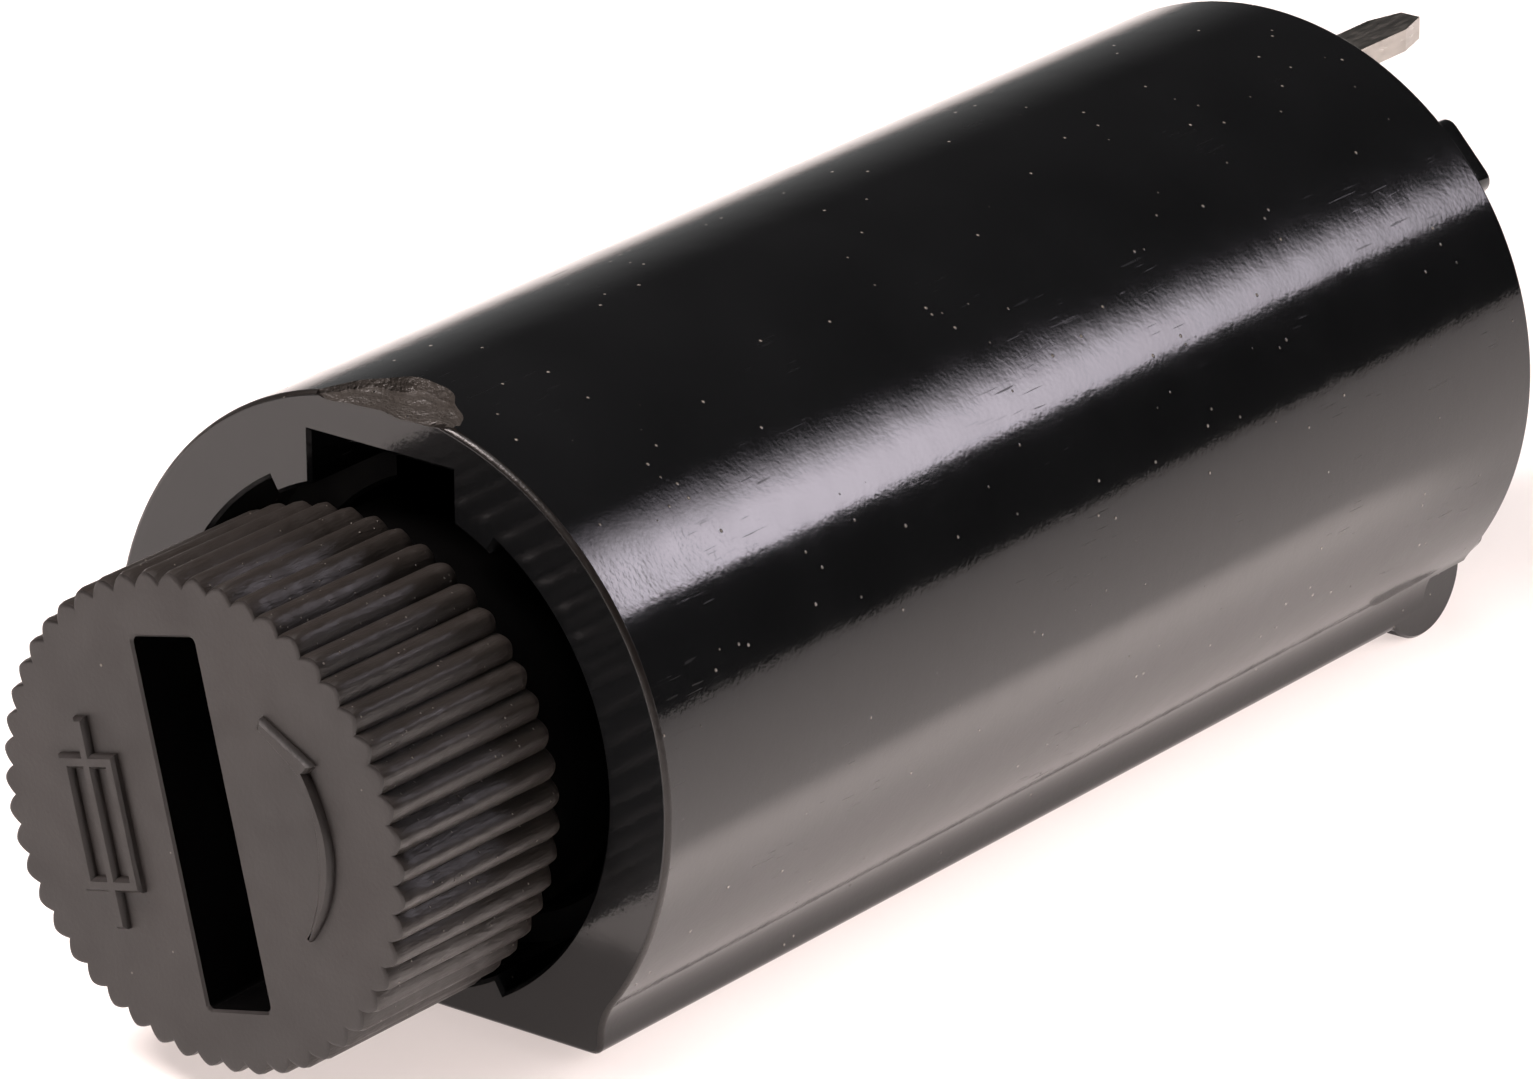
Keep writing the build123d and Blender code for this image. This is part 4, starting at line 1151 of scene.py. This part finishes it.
class MakeStage(bpy.types.Operator):
    """Set out the pale floor, the lamps, the highlight card and the camera"""
    bl_idname = "fuse_holder.stage"
    bl_label = "Floor, light and camera"

    def execute(self, context):
        s = context.scene.fuse_holder_stage
        floor = self.floor(context.scene.fuse_holder_finishes.floor)
        camera = self.camera(context, s)
        middle = (0, (FRONT_Y + BOARD_Y) / 2, 0)
        before_cap = (-0.02, FRONT_Y - 0.01, HOUSING_LOW.z)
        softbox("overhead_softbox", middle, (-0.1, -0.1, 1.0), 1.2, 0.9, 0.9, s.overhead)
        warm = s.lamp_tint
        softbox("pool_light", before_cap, (-0.2, -0.35, 1.0), 0.17, 0.07, 0.07, s.pool, warm)
        foot = (0.8 * HOUSING_HIGH.x, (FRONT_Y + BOARD_Y) / 2, HOUSING_LOW.z)
        # These two lamps light the floor alone, and only the floor can shade them.
        lit = bpy.data.collections.new("lit_from_the_right")
        lit.objects.link(floor)
        for lamp in (softbox("side_softbox", middle, (1.0, -0.15, 0.6), 2.0, 1.0, 1.0, s.side, warm),
                     softbox("floor_strip", foot, (1.0, 0.0, 0.55), 0.006, 0.036, 0.003, s.fill, warm)):
            lamp.light_linking.receiver_collection = lit
            lamp.light_linking.blocker_collection = lit
            lamp.visible_glossy = False
        self.highlight_card(s, camera.matrix_world.translation)
        self.sky(context, s)
        context.scene.view_settings.view_transform = "Standard"
        return {"FINISHED"}

    def highlight_card(self, s, eye):
        """A glowing card whose reflection along the body is one long tapering highlight."""
        radius = HOUSING_HIGH.x
        steps = 12

        def mirrored(turn, y):
            normal = Vector((math.cos(turn), 0, math.sin(turn)))
            spot = radius * normal + Vector((0, y, 0))
            view = (eye - spot).normalized()
            return spot, 2 * view.dot(normal) * normal - view

        spot, facing = mirrored((s.strip_low + s.strip_front) / 2, (FRONT_Y + BOARD_Y) / 2)
        centre = spot + facing * s.strip_distance
        mesh = bmesh.new()
        uv = mesh.loops.layers.uv.new("across_and_along")
        grid = {}
        for i in range(steps + 1):
            along = i / steps
            y = FRONT_Y - 2 * MM + along * (BOARD_Y - FRONT_Y + 4 * MM)
            end = s.strip_front + along * (s.strip_rear - s.strip_front)
            for j in range(steps + 1):
                across = j / steps
                spot, way = mirrored(s.strip_low + across * (end - s.strip_low), y)
                reach = (centre - spot).dot(facing) / way.dot(facing)
                grid[i, j] = mesh.verts.new(spot + way * reach), (across, along)
        for i in range(steps):
            for j in range(steps):
                corners = [grid[i, j], grid[i + 1, j], grid[i + 1, j + 1], grid[i, j + 1]]
                face = mesh.faces.new([corner[0] for corner in corners])
                for loop, corner in zip(face.loops, corners):
                    loop[uv].uv = corner[1]
        card = piece_from("highlight_card", mesh)
        card.data.materials.append(self.glowing(s))
        card.visible_camera = False
        card.visible_shadow = False

    def glowing(self, s):
        """Lit diffusion cloth, brightest along its low edge and towards the front."""
        material, tree, _ = blank_material("lit_diffusion_cloth")
        where = add_node(tree, "ShaderNodeSeparateXYZ", {
            "Vector": add_node(tree, "ShaderNodeUVMap", uv_map="across_and_along").outputs[0]})
        across = spread(tree, where.outputs[0], 0.4, 1.0, 1.0, 0.06, interpolation_type="SMOOTHSTEP")
        along = spread(tree, where.outputs[1], 0.0, 1.0, s.strip, s.strip * s.strip_fade)
        lit = add_node(tree, "ShaderNodeEmission", {
            "Color": (*s.strip_tint, 1), "Strength": calc(tree, "MULTIPLY", across, along)})
        add_node(tree, "ShaderNodeOutputMaterial", {"Surface": lit.outputs[0]})
        return material

    def sky(self, context, s):
        """A dim even light all round with a soft glow low on the left, and a pale backdrop."""
        world = bpy.data.worlds.new("even_light")
        world.use_nodes = True
        tree = world.node_tree
        tree.nodes.clear()
        way = add_node(tree, "ShaderNodeSeparateXYZ", {
            "Vector": add_node(tree, "ShaderNodeTexCoord").outputs["Generated"]})
        low = spread(tree, way.outputs[2], 0.0, 0.35, 1.0, 0.0)
        left = spread(tree, way.outputs[0], -0.2, -0.8, 0.0, 1.0)
        power = calc(tree, "MULTIPLY_ADD", calc(tree, "MULTIPLY", low, left), s.glow, s.sky)
        dim = add_node(tree, "ShaderNodeBackground", {"Color": (1, 1, 1, 1), "Strength": power})
        pale = add_node(tree, "ShaderNodeBackground", {"Color": (1, 1, 1, 1), "Strength": s.backdrop})
        seen = add_node(tree, "ShaderNodeLightPath").outputs["Is Camera Ray"]
        chosen = add_node(tree, "ShaderNodeMixShader", {0: seen, 1: dim.outputs[0], 2: pale.outputs[0]})
        add_node(tree, "ShaderNodeOutputWorld", {"Surface": chosen.outputs[0]})
        context.scene.world = world

    def floor(self, tone):
        half = 1.2
        mesh = bmesh.new()
        low = HOUSING_LOW.z
        corners = ((-half, -half), (half, -half), (half, half), (-half, half))
        mesh.faces.new([mesh.verts.new((x, y, low)) for x, y in corners])
        floor = piece_from("floor", mesh)
        material, tree, _ = blank_material("matt_card")
        surface(tree, Base_Color=(*tone, 1), Roughness=0.7)
        floor.data.materials.append(material)
        return floor

    def camera(self, context, s):
        az, el = s.view_azimuth, s.view_elevation
        back = Vector((math.sin(az) * math.cos(el), -math.cos(az) * math.cos(el), math.sin(el)))
        right = Vector((math.cos(az), math.sin(az), 0))
        level = Matrix((right, back.cross(right), back)).transposed()
        turn = level @ Matrix.Rotation(s.view_roll, 3, "Z")
        data = bpy.data.cameras.new("camera")
        data.lens, data.sensor_width = s.lens, s.sensor
        data.clip_start, data.clip_end = 1 * MM, 10
        camera = bpy.data.objects.new("camera", data)
        place = Vector((s.aim_x, at(s.aim_depth), 0)) + back * s.view_distance
        camera.matrix_world = Matrix.Translation(place) @ turn.to_4x4()
        context.scene.collection.objects.link(camera)
        context.scene.camera = camera
        return camera


# ---------------------------------------------------------------- add-on

STEPS = (MakeHousing, MakeCap, MakeSpring, MakeContacts, MakeFuse, MakeStage)


class FuseHolderPanel(bpy.types.Panel):
    """Sizes, colours and steps of the fuse holder"""
    bl_idname = "VIEW3D_PT_fuse_holder"
    bl_label = "Fuse Holder"
    bl_space_type = "VIEW_3D"
    bl_region_type = "UI"
    bl_category = "Fuse Holder"

    def draw(self, context):
        for step in STEPS:
            self.layout.operator(step.bl_idname)
        for group, kind in GROUPS.items():
            box = self.layout.box()
            for name in kind.__annotations__:
                box.prop(getattr(context.scene, group), name)


def register():
    for kind in (*GROUPS.values(), *STEPS, FuseHolderPanel):
        bpy.utils.register_class(kind)
    for group, kind in GROUPS.items():
        setattr(bpy.types.Scene, group, PointerProperty(type=kind))


def unregister():
    for group in GROUPS:
        delattr(bpy.types.Scene, group)
    for kind in reversed((*GROUPS.values(), *STEPS, FuseHolderPanel)):
        bpy.utils.unregister_class(kind)


def main():
    register()
    for step in STEPS:
        family, name = step.bl_idname.split(".")
        getattr(getattr(bpy.ops, family), name)()


if __name__ == "__main__":
    main()
